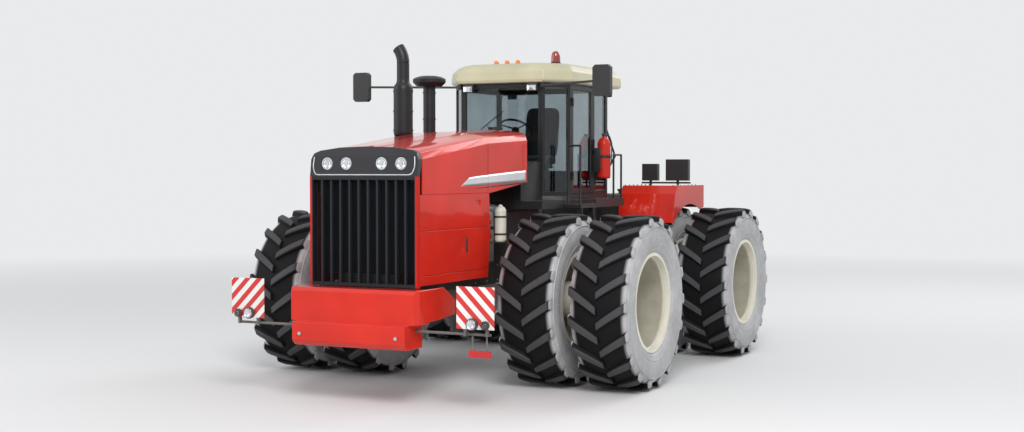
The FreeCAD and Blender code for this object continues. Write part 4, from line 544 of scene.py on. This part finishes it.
def tyre_lugs(middle, axle):
    """Slanting bars: a worn trapezium carried from the middle of the tread over the shoulder.

    The bar's angle grows with its distance from the middle, and the two halves take turns.
    """
    count, crown, top, overlap, reach = 18, 0.918, 0.975, 0.008, 0.344
    pitch = 2 * np.pi / count
    foot, sweep = 0.0536, math.tan(math.radians(36)) * 0.320 / top
    along = np.array((0.0, 0.0, 0.03, 0.2, 0.4, 0.6, 0.8, 0.93, 0.99, 1.0, 1.0))
    high = np.array((crown, crown, top - 0.006, top, top, top - 0.001, top - 0.003, top - 0.012,
                     0.930, 0.885, 0.885))
    low = np.array((crown, crown, crown, 0.916, 0.914, 0.908, 0.902, 0.890, 0.880, 0.868, 0.868))
    open_row = np.array((0, 1, 1, 1, 1, 1, 1, 1, 1, 1, 0.0))
    section = np.array(((-1, 0), (-0.88, 0.55), (-0.72, 0.93), (-0.62, 1.0), (0.0, 1.004), (0.62, 1.0),
                        (0.72, 0.93), (0.88, 0.55), (1, 0), (-1, 0)))
    hand = np.array((1.0, -1.0))[:, None, None, None]
    lug = (np.arange(count) * pitch)[None, :, None, None] + np.where(hand > 0, 0.0, pitch / 2)
    share = along[None, None, :, None]
    spread_out = foot * (1.0 + 0.25 * share) * section[None, None, None, :, 0] * open_row[:, None]
    angle = math.pi - 0.7 * foot + lug + sweep * share ** 0.92 + spread_out
    rise = open_row[:, None] * section[None, None, None, :, 1]
    radius = low[:, None] + (high - low)[:, None] * np.minimum(rise, 1.0) + 0 * angle
    x = middle + hand * (-overlap + reach * share) + 0 * angle
    return np.stack((x, axle + radius * np.sin(angle), AXLE_HIGH + radius * np.cos(angle)),
                    -1).reshape(-1, len(along), len(section), 3)


def sidewall_ribs(middle, axle):
    """Low moulded rings round both sidewalls: a small trapezium turned about the axle."""
    section = ((-0.008, -0.008), (0.004, -0.004), (0.004, 0.004), (-0.008, 0.008), (-0.008, -0.008))
    return [lathe([(middle + hand * (x + out), r + up) for out, up in section], (0, axle, AXLE_HIGH),
                  "x", 96)
            for hand in (1, -1) for x, r in ((0.3120, 0.596), (0.3300, 0.650), (0.3355, 0.842))]


def rim_rows(middle, disc, side):
    """Drop-centre rim barrel with two flanges and a dished disc, as one closed outline."""
    flange = ((0.300, 0.521), (0.300, 0.556), (0.294, 0.561), (0.284, 0.561), (0.278, 0.556),
              (0.276, 0.535))
    ledge = ((0.240, 0.515), (0.232, 0.506), (0.205, 0.506), (0.197, 0.512))
    dish = ((0.110, 0.508), (0.078, 0.490), (0.030, 0.300), (0.020, 0.268), (0.020, 0.180), (0, 0.180),
            (0, 0.272), (0.014, 0.310), (0.046, 0.508))
    rows = [(middle - out, radius) for out, radius in flange]
    rows += [(middle + out, radius) for out, radius in (*flange[::-1], *ledge)]
    rows += [(disc + out, radius) for out, radius in dish]
    rows += [(middle - 0.240, 0.515), rows[0]]
    return [(side * along, radius) for along, radius in rows]


def wheels():
    """Dual tyres, rim pairs with their hub drum, nuts and valves on all four corners."""
    for end, axle in (("f", FRONT_AXLE), ("r", REAR_AXLE)):
        for side, word in SIDES:
            node = "wheel_%s%s" % (end, word[0])
            body = BODY[node + "_rims"]
            centre = (0, axle, AXLE_HIGH)
            tyres = []
            for middle in TYRE_MIDDLES:
                tyres += [tyre_carcass(side * middle, axle), tyre_lugs(side * middle, axle)]
                tyres += sidewall_ribs(side * middle, axle)
            piece(node + "_tread", "tyre_rubber", *tyres, sharp=38, radius_about=axle,
                  body=body, replaces=(node + "_tyres",))
            drum = [(side * x, r) for x, r in (
                (0.640, 0.0801), (0.640, 0.195), (0.650, 0.205), (1.915, 0.205), (1.925, 0.195),
                (1.925, 0.130), (1.955, 0.112), (1.965, 0.095), (1.965, 0.0), (0.800, 0.0),
                (0.800, 0.0801), (0.640, 0.0801))]
            rims = [lathe(rim_rows(middle, disc, side), centre, "x", 96)
                    for middle, disc in zip(TYRE_MIDDLES, RIM_DISCS)]
            piece(node + "_rim_pair", "cream_paint", *rims, lathe(drum, centre, "x", 64),
                  look="rim_paint", sharp=30, radius_about=axle, body=body, replaces=(node + "_rims",))
            axis = "x" if side > 0 else flipped("x")
            nuts = [circle((x * side, axle, AXLE_HIGH), "x", radius, count) for x, radius, count in (
                (1.914, 0.232, 12), (1.924, 0.168, 8), (1.955, 0.060, 5))]
            piece(node + "_nuts", "bright_steel", studs(np.concatenate(nuts), axis, 0.014, 0.022),
                  sharp=25, body=body)
            valve = circle((1.95 * side, axle, AXLE_HIGH), "x", 0.500, 1, 0.9)
            piece(node + "_valve", "black_plastic", studs(valve, axis, 0.007, 0.05, 10), body=body)


# Front end, engine bay and the two stacks


def grille_mesh():
    """Upright and level square wires between the grille's bars and the radiator."""
    wire = 0.0028
    square = np.array(((0, 0), (1, 0), (1, 1), (0, 1), (0, 0)))
    grids = []
    for places, axis, ends in ((np.linspace(-0.615, 0.615, 83), 0, (1.268, 2.346)),
                               (np.linspace(1.275, 2.340, 72), 2, (-0.621, 0.621))):
        grid = np.zeros((len(places), 2, 5, 3))
        grid[..., axis] = places[:, None, None] + wire * (square[None, None, :, 0] - 0.5)
        grid[..., 1] = -3.182 - 0.002 * (axis == 2) + wire * (square[None, None, :, 1] - 0.5)
        grid[..., 2 - axis] = np.array(ends)[None, :, None]
        grids.append(grid)
    piece("grille_mesh", "black_plastic", *grids, look="grille_black", sharp=20)


def headlamps():
    """Four lamps of bezel, bowl, bulb and lens turned about the line of sight, and a silver trim."""
    bezel = ((0.020, 0.050), (0.024, 0.062), (0.004, 0.066), (-0.006, 0.064), (-0.006, 0.055),
             (0.004, 0.052), (0.020, 0.050))
    bowl = ((0.022, 0.0), (0.0215, 0.020), (0.017, 0.038), (0.006, 0.052), (0.008, 0.053),
            (0.0225, 0.030), (0.0235, 0.0))
    lens = ((-0.008, 0.0), (-0.007, 0.025), (-0.004, 0.044), (0.002, 0.055), (0.005, 0.055),
            (-0.001, 0.042), (-0.004, 0.024), (-0.005, 0.0))
    bulb = ((0.016, 0.0), (0.016, 0.008), (0.006, 0.008), (0.002, 0.0))
    spots = [(x, -3.204, 2.515) for x in (-0.450, -0.215, 0.215, 0.450)]
    bezels, bowls, lenses = ([lathe(form, at, "y", 48) for at in spots] for form in (bezel, bowl, lens))
    bulbs = [lathe(bulb, at, "y", 16) for at in spots]
    piece("headlamp_bezels", "black_plastic", *bezels, look="stripe_silver", replaces=("headlamps",))
    piece("headlamp_bowls", "lamp_lens", *bowls, *bulbs, look="lamp_reflector")
    piece("headlamp_lenses", "lamp_lens", *lenses)
    trim = [tube(eased(((0.0, TRIM_FACE, 2.398), (sign * 0.590, TRIM_FACE, 2.398),
                        (sign * 0.622, -3.217, 2.480), (sign * 0.612, -3.203, 2.585)), 40), 0.006, 8)
            for sign in (1, -1)]
    piece("lamp_panel_trim", "black_plastic", *trim, look="stripe_silver")


def hood_trim():
    """Silver stripe and its dark line on the hood, bolts, handles, latches and seams."""
    share = np.linspace(0, 1, 60)[:, None]
    height = np.linspace(-1, 1, 5)[None, :]
    for name, look, low, tall, start, stop in (
            ("stripe", "stripe_silver", -0.028, 0.066, -2.290, -0.655),
            ("stripe_line", "black_paint", -0.106, 0.008, -2.120, -0.655)):
        strips = []
        for sign in (1, -1):
            y = start + (stop - start) * share + 0.10 * (height + 1) * (1 - share) ** 3
            z = 2.345 + low + 0.062 * share + height * tall * (0.72 + 0.28 * share)
            strips.append(np.stack((sign * (HOOD_SIDE + 0.0007) + 0 * z, y + 0 * z, z), -1))
        piece("hood_" + name, "red_paint", *strips, look=look, wall=0.0016, sharp=20)
    bolts = [(x, WEIGHT_FACE, 0.745) for x in (-0.58, 0.58)]
    piece("weight_bolts", "bright_steel", studs(bolts, flipped("y"), 0.022, 0.016))
    fittings = []
    for depth, low, high, soft in ((0.008, (-2.1685, 1.5515), (-2.1115, 1.7185), 0.003),
                                   (0.006, (-1.915, 2.216), (-1.840, 2.244), 0.002)):
        for sign in (1, -1):
            near, far = sorted((sign * PANEL_SIDE, sign * (PANEL_SIDE + depth)))
            fittings.append(brick((near, *low), (far, *high), soft, 0))
    piece("panel_handles", "black_plastic", *fittings, sharp=28)
    seams = [tube(((sign * HOOD_SIDE, -1.640, 2.220), (sign * HOOD_SIDE, -1.640, 2.720)), 0.0022, 6)
             for sign in (1, -1)]
    piece("hood_seams", "black_paint", *seams)


def engine_bay():
    """Air pipe with rubber couplings, strapped canister, coolant hose, filter bands, core strips."""
    path = eased(((0.560, -2.905, 2.330), (0.575, -2.500, 2.320), (0.580, -1.800, 2.230),
                  (0.545, -1.480, 2.120), (0.440, -1.330, 1.960), (0.230, -1.300, 1.860)), 80, 6)
    piece("charge_pipe", "bright_steel", tube(path, 0.048, 24))
    sleeves = [tube(path[first:last], 0.054, 24) for first, last in ((2, 7), (40, 45), (66, 71))]
    clips = [tube(path[spot:spot + 2], 0.057, 24) for spot in (3, 5, 41, 43, 67, 69)]
    piece("charge_pipe_sleeves", "black_plastic", *sleeves)
    piece("charge_pipe_clips", "bright_steel", *clips)
    at = (0.585, -1.190, 0)
    canister = eased(((1.6205, 0.0), (1.6205, 0.058), (1.640, 0.068), (1.985, 0.068), (2.020, 0.050),
                      (2.028, 0.024), (2.050, 0.022), (2.052, 0.0)), 60, 2)
    piece("side_canister", "cream_paint", lathe(canister, at, "z", 40), sharp=50)
    straps = [lathe(((z, 0.064), (z, 0.0705), (z + 0.022, 0.0705), (z + 0.022, 0.064), (z, 0.064)),
                    at, "z", 40) for z in (1.70, 1.90)]
    piece("canister_bands", "black_plastic", *straps,
          brick((0.230, -1.240, 1.608), (0.650, -1.140, 1.6203), 0.003),
          brick((0.230, -1.200, 1.760), (0.520, -1.180, 1.800), 0.003))
    hose = eased(((0.300, -1.650, 1.480), (0.470, -1.560, 1.500), (0.500, -1.350, 1.720),
                  (0.400, -1.150, 1.930), (0.235, -1.050, 1.950)), 60, 5)
    piece("coolant_hose", "black_plastic", tube(hose, 0.026, 16))
    bands = [lathe(hoop(z, 0.050, 0.0595, 0.0245), (0.340, -1.410 + 0.170 * k, 0), "z", 32)
             for k in range(3) for z in (1.6805, 1.8405)]
    piece("filter_bands", "red_paint", *bands)
    strips = [brick((x - 0.017, -3.166, 1.255), (x + 0.017, -3.158, 2.370), 0.001)
              for x in (0.6115, -0.6115)]
    strips.append(brick((-0.626, -3.150, 2.330), (0.626, -3.140, 2.374), 0.001))
    piece("core_strips", "black_plastic", *strips)


def stacks():
    """Exhaust with banded muffler and bent tip, and intake with a domed cap."""
    x, y = EXHAUST
    column = eased(((2.050, 0.072), (2.820, 0.072), (2.842, 0.110), (3.408, 0.110), (3.448, 0.072),
                    (3.670, 0.072)), 90, 2)
    body = np.concatenate(([(2.0503, 0.0)], column, [(3.6760, 0.060)]))
    bands = [lathe(hoop(z, 0.108, 0.1145, 0.012), (x, y, 0)) for z in (2.90, 3.12, 3.35)]
    turn = np.linspace(0, math.radians(40), 14)
    bend = 0.260
    path = np.stack((x - bend + bend * np.cos(turn), y + 0 * turn, 3.6765 + bend * np.sin(turn)), -1)
    outer, inner = (sections(path, radius, 40, (0.0, 1.0, 0.0)) for radius in (0.072, 0.066))
    tip = np.concatenate((outer, inner[::-1]))
    piece("exhaust", "black_paint", lathe(body, (x, y, 0)), *bands, tip, replaces=("exhaust_stack",))
    cap = ((2.0503, 0.0), (2.0503, 0.072), (3.425, 0.072), (3.430, 0.140), (3.452, 0.165),
           (3.480, 0.193), (3.492, 0.195), (3.518, 0.195), (3.532, 0.180), (3.548, 0.140),
           (3.558, 0.095), (3.560, 0.0))
    rings = [lathe(hoop(z, 0.070, 0.080, 0.006), (*INTAKE, 0)) for z in (3.05, 3.36)]
    piece("intake", "black_paint", lathe(cap, (*INTAKE, 0)), *rings, sharp=28, replaces=("air_intake",))


# Cab fittings


def pillow(middle, half, lean, channels, puff=0.45):
    """A superellipsoid whose sides pull in, pressed in along sewn channels across its face."""
    slope = np.linspace(-np.pi / 2, np.pi / 2, 65)[:, None]
    turn = np.linspace(-np.pi, np.pi, 129)[None, :]

    def power(value, exponent):
        """A power of the value's size, with the value's sign."""
        return np.sign(value) * np.abs(value) ** exponent

    flat = power(np.cos(slope), puff)
    x = half[0] * flat * power(np.cos(turn), 0.30)
    y = half[1] * flat * power(np.sin(turn), 0.30)
    z = half[2] * power(np.sin(slope), puff) + 0 * turn
    for place in channels:
        z = z - np.sign(z) * 0.007 * np.exp(-((x - place) / 0.008) ** 2) * (np.abs(z) > 0.3 * half[2])
    rise = math.radians(lean)
    return np.stack((middle[0] + x, middle[1] + y * math.cos(rise) - z * math.sin(rise),
                     middle[2] + y * math.sin(rise) + z * math.cos(rise)), -1)


def cab_inside():
    """Seat with arm console and levers, display, and the steering wheel on its column."""
    cushion = piece("seat_cushion", "seat_cloth",
                    pillow((0, 0.905, 2.570), (0.248, 0.250, 0.068), 2, (-0.11, 0.11)), sharp=60,
                    replaces=("seat",))
    back = piece("seat_back", "seat_cloth",
                 pillow((0, 1.200, 2.930), (0.228, 0.335, 0.056), 82, (-0.10, 0.10)), sharp=60)
    piece("seat_base", "black_plastic", brick((-0.16, 0.74, 2.1302), (0.16, 1.08, 2.500), 0.02),
          brick((-0.20, 0.69, 2.470), (0.20, 1.12, 2.512), 0.02, 1),
          brick((-0.38, 0.71, 2.610), (-0.26, 1.17, 2.750), 0.025, 1),
          brick((-0.30, 0.91, 2.53), (-0.24, 1.01, 2.62), 0.01), sharp=50)
    spots = ((-0.34, 0.80), (-0.30, 0.80), (-0.34, 0.90), (-0.30, 0.90))
    levers = [tube(((x, y, 2.745), (x + 0.005, y - 0.01, 2.800)), 0.006, 10) for x, y in spots]
    knob = eased(((-0.016, 0), (-0.014, 0.011), (0.014, 0.011), (0.016, 0)), 12, 1)
    knobs = [lathe(knob, (x + 0.006, y - 0.012, 2.812), "z", 16) for x, y in spots]
    piece("arm_levers", "black_plastic", *levers, *knobs)
    piece("cab_display", "black_plastic", brick((-0.44, 0.50, 2.86), (-0.24, 0.53, 3.00), 0.008, 1),
          tube(((-0.34, 0.535, 2.93), (-0.33, 0.72, 2.80), (-0.33, 0.74, 2.74)), 0.009, 10))
    tilt = math.radians(35)
    along = np.array((0, math.sin(tilt), math.cos(tilt)))
    axis = (along, np.array((1.0, 0, 0)), np.cross(along, (1.0, 0, 0)))
    hub = np.array((0, 0.270, 2.750)) + 0.2303 * along
    section = np.linspace(0, 2 * np.pi, 17)
    ring = np.stack((0.030 + 0.0145 * np.sin(section), 0.205 + 0.0145 * np.cos(section)), -1)
    spokes = []
    for turn in math.pi / 2 + np.arange(3) * 2 * math.pi / 3:
        way = math.cos(turn) * axis[1] + math.sin(turn) * axis[2]
        reach = np.linspace(0.030, 0.200, 6)[:, None]
        spokes.append(tube(hub + 0.030 * along + reach * way, 0.009, 10))
    boss = eased(((0.0, 0), (0.0, 0.048), (0.030, 0.050), (0.044, 0.036), (0.046, 0)), 24, 1)
    piece("steering_grip", "black_plastic", lathe(ring, hub, axis, 72), lathe(boss, hub, axis, 40),
          *spokes, sharp=40, body="steering_wheel", replaces=("steering_wheel",))


def window_seal(axis, at, low, high):
    """A rubber strip round the low and high corners of a pane that stands square to an axis."""
    corners = np.array((low, (high[0], low[1]), high, (low[0], high[1]), low), float)
    return tube(eased(np.insert(corners, axis, at, axis=1), 100, 1), 0.006, 8)


def cab_windows():
    """Rubber seals round the panes, the wiper, and the glass of the mirrors."""
    seals = [window_seal(1, 0.020, (-0.503, 2.553), (0.503, 3.462)),
             window_seal(1, 1.500, (-0.743, 2.433), (0.743, 3.462)),
             window_seal(0, SIDE_GLASS, (1.078, 2.188), (1.452, 3.462)),
             window_seal(0, -SIDE_GLASS, (0.368, 2.188), (1.452, 3.462))]
    piece("window_seals", "black_plastic", *seals, sharp=60)
    piece("door_seal", "black_plastic", window_seal(0, SIDE_GLASS, (0.408, 2.213), (0.967, 3.442)),
          sharp=60, body="door")
    arm = tube(eased(((0.05, 0.004, 2.52), (0.03, -0.012, 2.60), (-0.20, -0.004, 3.02)), 20), 0.006, 8)
    blade = tube(((-0.42, 0.012, 2.86), (-0.20, 0.010, 3.02), (0.02, 0.012, 3.18)), 0.006, 8)
    foot = lathe(((0.0, 0), (0.0, 0.02), (0.03, 0.018), (0.032, 0)), (0.05, -0.012, 2.50), "y", 20)
    piece("wiper", "black_plastic", arm, blade, foot)
    for sign, word in SIDES:
        x = sign * 1.620
        face = brick((x - 0.095, -0.6002, 3.325), (x + 0.095, -0.5975, 3.635), 0.001, 1)
        piece("mirror_glass_" + word, "bright_steel", face, look="mirror_glass")


def roof_fittings():
    """Bowls and lenses of the roof's lamps, the beacon and the three markers."""
    bowls, lenses = [], []
    for x, half, lens, bowl in ((0.440, 0.058, (-0.063, -0.056), (-0.0585, -0.055)),
                                (0.700, 0.050, (1.776, 1.783), (1.775, 1.7785))):
        for at in (-x, x):
            wide = half + 0.002
            lenses.append(brick((at - half, lens[0], 3.425), (at + half, lens[1], 3.485), 0.003, 1))
            bowls.append(brick((at - wide, bowl[0], 3.423), (at + wide, bowl[1], 3.488), 0.001, 1))
    piece("roof_lamp_bowls", "lamp_lens", *bowls, look="lamp_reflector")
    piece("roof_lamp_lenses", "lamp_lens", *lenses)
    dome = eased(((3.812, 0.0), (3.812, 0.060), (3.900, 0.056), (3.938, 0.046), (3.956, 0.022),
                  (3.9595, 0.0)), 40, 2)
    at = (*BEACON, 0)
    piece("beacon_dome", "beacon_lens", lathe(dome, at), sharp=50, replaces=("beacon",))
    base = ((ROOF_TOP, 0.0), (ROOF_TOP, 0.072), (3.800, 0.072), (3.812, 0.064), (3.814, 0.0))
    piece("beacon_base", "black_plastic", lathe(base, at))
    marker = eased(((ROOF_TOP, 0), (ROOF_TOP, 0.032), (3.800, 0.031), (3.815, 0.018), (3.816, 0)), 24, 1)
    markers = [lathe(marker, (x, 0.170, 0), "z", 32) for x in (-0.15, 0, 0.15)]
    piece("marker_lenses", "amber_lens", *markers, replaces=("roof_markers",))


def extinguisher():
    """Bottle behind the door, with its strap, hose, valve, lever and bracket."""
    bottle = eased(((2.340, 0), (2.340, 0.072), (2.356, 0.084), (2.795, 0.084), (2.850, 0.060),
                    (2.868, 0.028), (2.880, 0.026), (2.880, 0)), 90, 2)
    x, y = EXTINGUISHER
    piece("extinguisher_bottle", "red_paint", lathe(bottle, (x, y, 0), "z", 48),
          replaces=("extinguisher",))
    hose = eased(((x, y + 0.02, 2.892), (x + 0.05, y + 0.05, 2.895), (x + 0.095, y + 0.03, 2.80),
                  (x + 0.094, y + 0.02, 2.55)), 40, 3)
    strap = lathe(hoop(2.62, 0.082, 0.0865, 0.02), (x, y, 0), "z", 48)
    valve = lathe(((2.878, 0), (2.878, 0.024), (2.905, 0.024), (2.905, 0)), (x, y, 0), "z", 24)
    lever = brick((x - 0.014, y - 0.060, 2.900), (x + 0.014, y + 0.040, 2.9145), 0.003, 1)
    bracket = brick((0.8003, 1.037, 2.430), (0.900, 1.070, 2.730), 0.004)
    piece("extinguisher_fittings", "black_plastic", tube(hose, 0.008, 10), strap, valve, lever, bracket)


def walkway_grip():
    """Short raised bars in a chequer on the walkway below the door."""
    chequer = []
    for row in range(26):
        for column in range(4):
            x, y = 0.870 + 0.046 * column, 0.085 + 0.052 * row
            turn = 0.8 if (row + column) % 2 else -0.8
            way = 0.014 * np.array((math.cos(turn), math.sin(turn), 0))
            ends = np.array((x, y, 2.0298)) + np.array([(-1,), (0,), (1,)]) * way
            chequer.append(tube(ends, 0.003, 6))
    piece("walkway_grip", "black_paint", *chequer)


def rear_fittings():
    """Lenses on the rear lamp boxes and bolt heads on the fenders."""
    low = 2.330
    for name, slot, rows in (
            ("rear_lens_red", "red_lens", ((1.400, 0.060, 2.570),)),
            ("rear_lens_amber", "amber_lens", ((1.490, 0.055, 2.570), (1.010, 0.090, 2.510))),
            ("rear_lens_clear", "lamp_lens", ((1.300, 0.035, 2.570),))):
        plates = [brick((at - half, REAR_LAMP_FACE, low), (at + half, 2.616, high), 0.005, 1)
                  for x, half, high in rows for at in (x, -x)]
        piece(name, slot, *plates, body="rear")
    bolts = [(sign * x, 1.90 + 0.15 * k, 2.2452) for sign in (1, -1) for x in (0.90, 1.57)
             for k in range(7) if 1.90 + 0.15 * k < 2.98]
    piece("fender_bolts", "bright_steel", studs(bolts, "z", 0.011, 0.010), body="rear")


def tank_straps():
    """Flat bands carried round the fuel tank's side view, every corner of it cut."""
    corners = np.array(((2.100, 1.3603), (3.020, 1.3603), (3.080, 1.450), (3.080, 2.060),
                        (3.020, 2.120), (2.170, 2.120), (2.040, 1.960), (2.040, 1.450)))
    cut, middle = 0.022, np.array((2.560, 1.740))
    ring = []
    for step in (1, -1):
        run = np.roll(corners, step, axis=0) - corners
        ring.append(corners + cut * run / np.linalg.norm(run, axis=1)[:, None])
    ring = np.stack(ring, 1).reshape(-1, 2)
    ring = middle + 1.008 * (np.concatenate((ring, ring[:1])) - middle)
    bands = []
    for x in (0.398, -0.398):
        across = x + np.array((-0.028, 0.028))[None, :] + 0 * ring[:, :1]
        bands.append(np.stack((across, ring[:, :1] + 0 * across, ring[:, 1:] + 0 * across), -1))
    piece("tank_straps", "cast_grey", *bands, sharp=20, wall=0.004, body="rear")


def outlets():
    """Collars and dust caps on the six oil outlets."""
    centres = [(x, OUTLET_FACE, z) for z in (1.200, 1.290) for x in (-0.125, 0.0, 0.125)]
    collar = ((0.0005, 0.0262), (0.0005, 0.034), (0.018, 0.037), (0.034, 0.034), (0.036, 0.0262),
              (0.0005, 0.0262))
    cap = ((0.0605, 0.0), (0.0605, 0.022), (0.056, 0.0262), (0.058, 0.030), (0.070, 0.029),
           (0.075, 0.020), (0.075, 0.0))
    for name, slot, form, places in (("outlet_collars", "black_plastic", collar, centres),
                                     ("outlet_caps_red", "red_paint", cap, centres[:3]),
                                     ("outlet_caps_black", "black_plastic", cap, centres[3:])):
        piece(name, slot, *[lathe(form, at, "y", 32) for at in places], body="rear")


def board_lamps():
    """Cups, bowls and domed lenses of the two lamps before each warning board."""
    lamps, rims = [], []
    for sign in (1, -1):
        for x, z, radius in ((1.355, 0.910, 0.062), (1.500, 0.905, 0.044)):
            at = (sign * x, LAMP_FACE, z)
            rims.append(lathe(((0.0, 0.0), (0.0, radius), (-0.030, radius), (-0.034, radius - 0.006),
                               (-0.032, 0.0)), at, "y", 40))
            dome = eased(((-0.033, 0.0), (-0.033, radius - 0.007), (-0.046, radius - 0.012),
                          (-0.056, 0.5 * radius), (-0.0595, 0.0)), 30, 1)
            lamps.append(lathe(dome, at, "y", 40))
    piece("board_lamp_cups", "black_plastic", *rims, replaces=("board_lamps",))
    bowls = [lathe(((-0.035, 0.0), (-0.035, 0.030), (-0.043, 0.051), (-0.0345, 0.052), (-0.0335, 0.0)),
                   (sign * 1.355, LAMP_FACE, 0.910), "y", 40) for sign in (1, -1)]
    piece("board_lamp_bowls", "lamp_lens", *bowls, look="lamp_reflector")
    piece("board_lamp_side", "lamp_lens", lamps[0], lamps[2])
    piece("board_lamp_turn", "lamp_lens", lamps[1], lamps[3])


def frame_bolts():
    """Bolt heads in two rows on the outer faces of the front and the rear rails."""
    for name, body, stations in (("rail_bolts", "front", np.arange(-1.35, -0.20, 0.28)),
                                 ("rear_rail_bolts", "rear", (1.9, 2.0, 2.9, 3.0, 3.1))):
        left = [(RAIL_SIDE, y, z) for y in stations for z in (1.15, 1.32)]
        right = [(-x, y, z) for x, y, z in left]
        piece(name, "cast_grey", studs(left, "x", 0.016, 0.014),
              studs(right, flipped("x"), 0.016, 0.014), body=body)


# Studio and camera


def studio_floor():
    """A wide pale plate that takes the backdrop's colour far off, so that no horizon shows."""
    tree, shader = blank("studio_floor", Base_Color=(0.78, 0.78, 0.78, 1), Roughness=0.9)
    away = add(tree, "ShaderNodeVectorMath", {0: place_of(tree)}, operation="LENGTH").outputs["Value"]
    glow = add(tree, "ShaderNodeEmission", {"Color": BACKDROP, "Strength": 0.95})
    mix = add(tree, "ShaderNodeMixShader", {0: spread(tree, away, 7.0, 26.0), 1: shader.outputs[0],
                                            2: glow.outputs[0]})
    tree.links.new(mix.outputs[0], tree.nodes["Material Output"].inputs["Surface"])
    span = 90.0
    mesh = bpy.data.meshes.new("studio_floor")
    mesh.from_pydata([(-span, -span, 0), (span, -span, 0), (span, span, 0), (-span, span, 0)], [],
                     [(0, 1, 2, 3)])
    mesh.materials.append(FINISH["studio_floor"])
    placed("studio_floor", mesh)


def aimed(name, data, place, target):
    """A lamp or a camera at a place, turned towards a target."""
    thing = placed(name, data)
    thing.location = place
    thing.rotation_euler = (Vector(target) - Vector(place)).to_track_quat("-Z", "Y").to_euler()
    return thing


def studio_light():
    """A sky that looks like the backdrop and lights softly, and three large lamps."""
    world = bpy.data.worlds.new("studio")
    bpy.context.scene.world = world
    world.use_nodes = True
    tree = world.node_tree
    rays = add(tree, "ShaderNodeLightPath").outputs
    seen = calc(tree, "MAXIMUM", rays["Is Camera Ray"],
                calc(tree, "MAXIMUM", rays["Is Glossy Ray"], rays["Is Transmission Ray"]))
    sky = tree.nodes["Background"]
    tree.links.new(blend(tree, seen, (0.95, 0.97, 1.0, 1), BACKDROP), sky.inputs["Color"])
    tree.links.new(spread(tree, seen, 0.0, 1.0, 0.55, 0.95), sky.inputs["Strength"])
    for name, place, size, power in (("key", (9, -15, 13), 7.0, 2400), ("fill", (-14, -10, 8), 9.0, 700),
                                     ("back", (6, 15, 12), 8.0, 900)):
        light = bpy.data.lights.new(name, "AREA")
        light.size, light.energy = size, power
        aimed(name, light, place, (0, 0, 1.6))


def view():
    """The camera at the photograph's viewing angle, and a plain view transform."""
    camera = bpy.data.cameras.new("camera")
    camera.lens, camera.sensor_width, camera.clip_end = 51.0, 36.0, 300.0
    bpy.context.scene.camera = aimed("camera", camera, (8.05, -16.11, 2.44), (0.15, 0.0, 1.88))
    bpy.context.scene.view_settings.view_transform = "Standard"


for node, thing in frame["nodes"].items():
    for place in thing.material_slots:
        place.material = FINISH[SLOT[node]]
# CAD nodes that a copy with rounded edges stands for, and the rounding's width
EDGES = (
    ("bumper", 0.010), ("hood", 0.006), ("side_panels", 0.0015), ("cab_roof", 0.022),
    ("fuel_tank", 0.020), ("rear_fenders", 0.004), ("cab_frame", 0.005), ("cab_door", 0.004),
    ("front_frame", 0.004), ("rear_frame", 0.004), ("pivot_yoke", 0.005), ("mirrors", 0.006),
    ("rear_lamps", 0.006), ("roof_lamps", 0.005), ("console", 0.012), ("engine", 0.008),
    ("cab_steps", 0.002), ("drawbar", 0.003), ("radiator", 0.004),
)
for node, width in EDGES:
    rounded(node, width)
rounded("lamp_panel", 0.004, look="charcoal_paint")
rounded("cab_base", 0.006, join=False)
rounded("grille", 0.003, look="grille_frame")
rounded("couplers", 0.003, look="cast_grey")
wheels()
grille_mesh()
headlamps()
hood_trim()
engine_bay()
stacks()
cab_inside()
cab_windows()
roof_fittings()
extinguisher()
walkway_grip()
board_lamps()
rear_fittings()
tank_straps()
outlets()
frame_bolts()
studio_floor()
studio_light()
view()
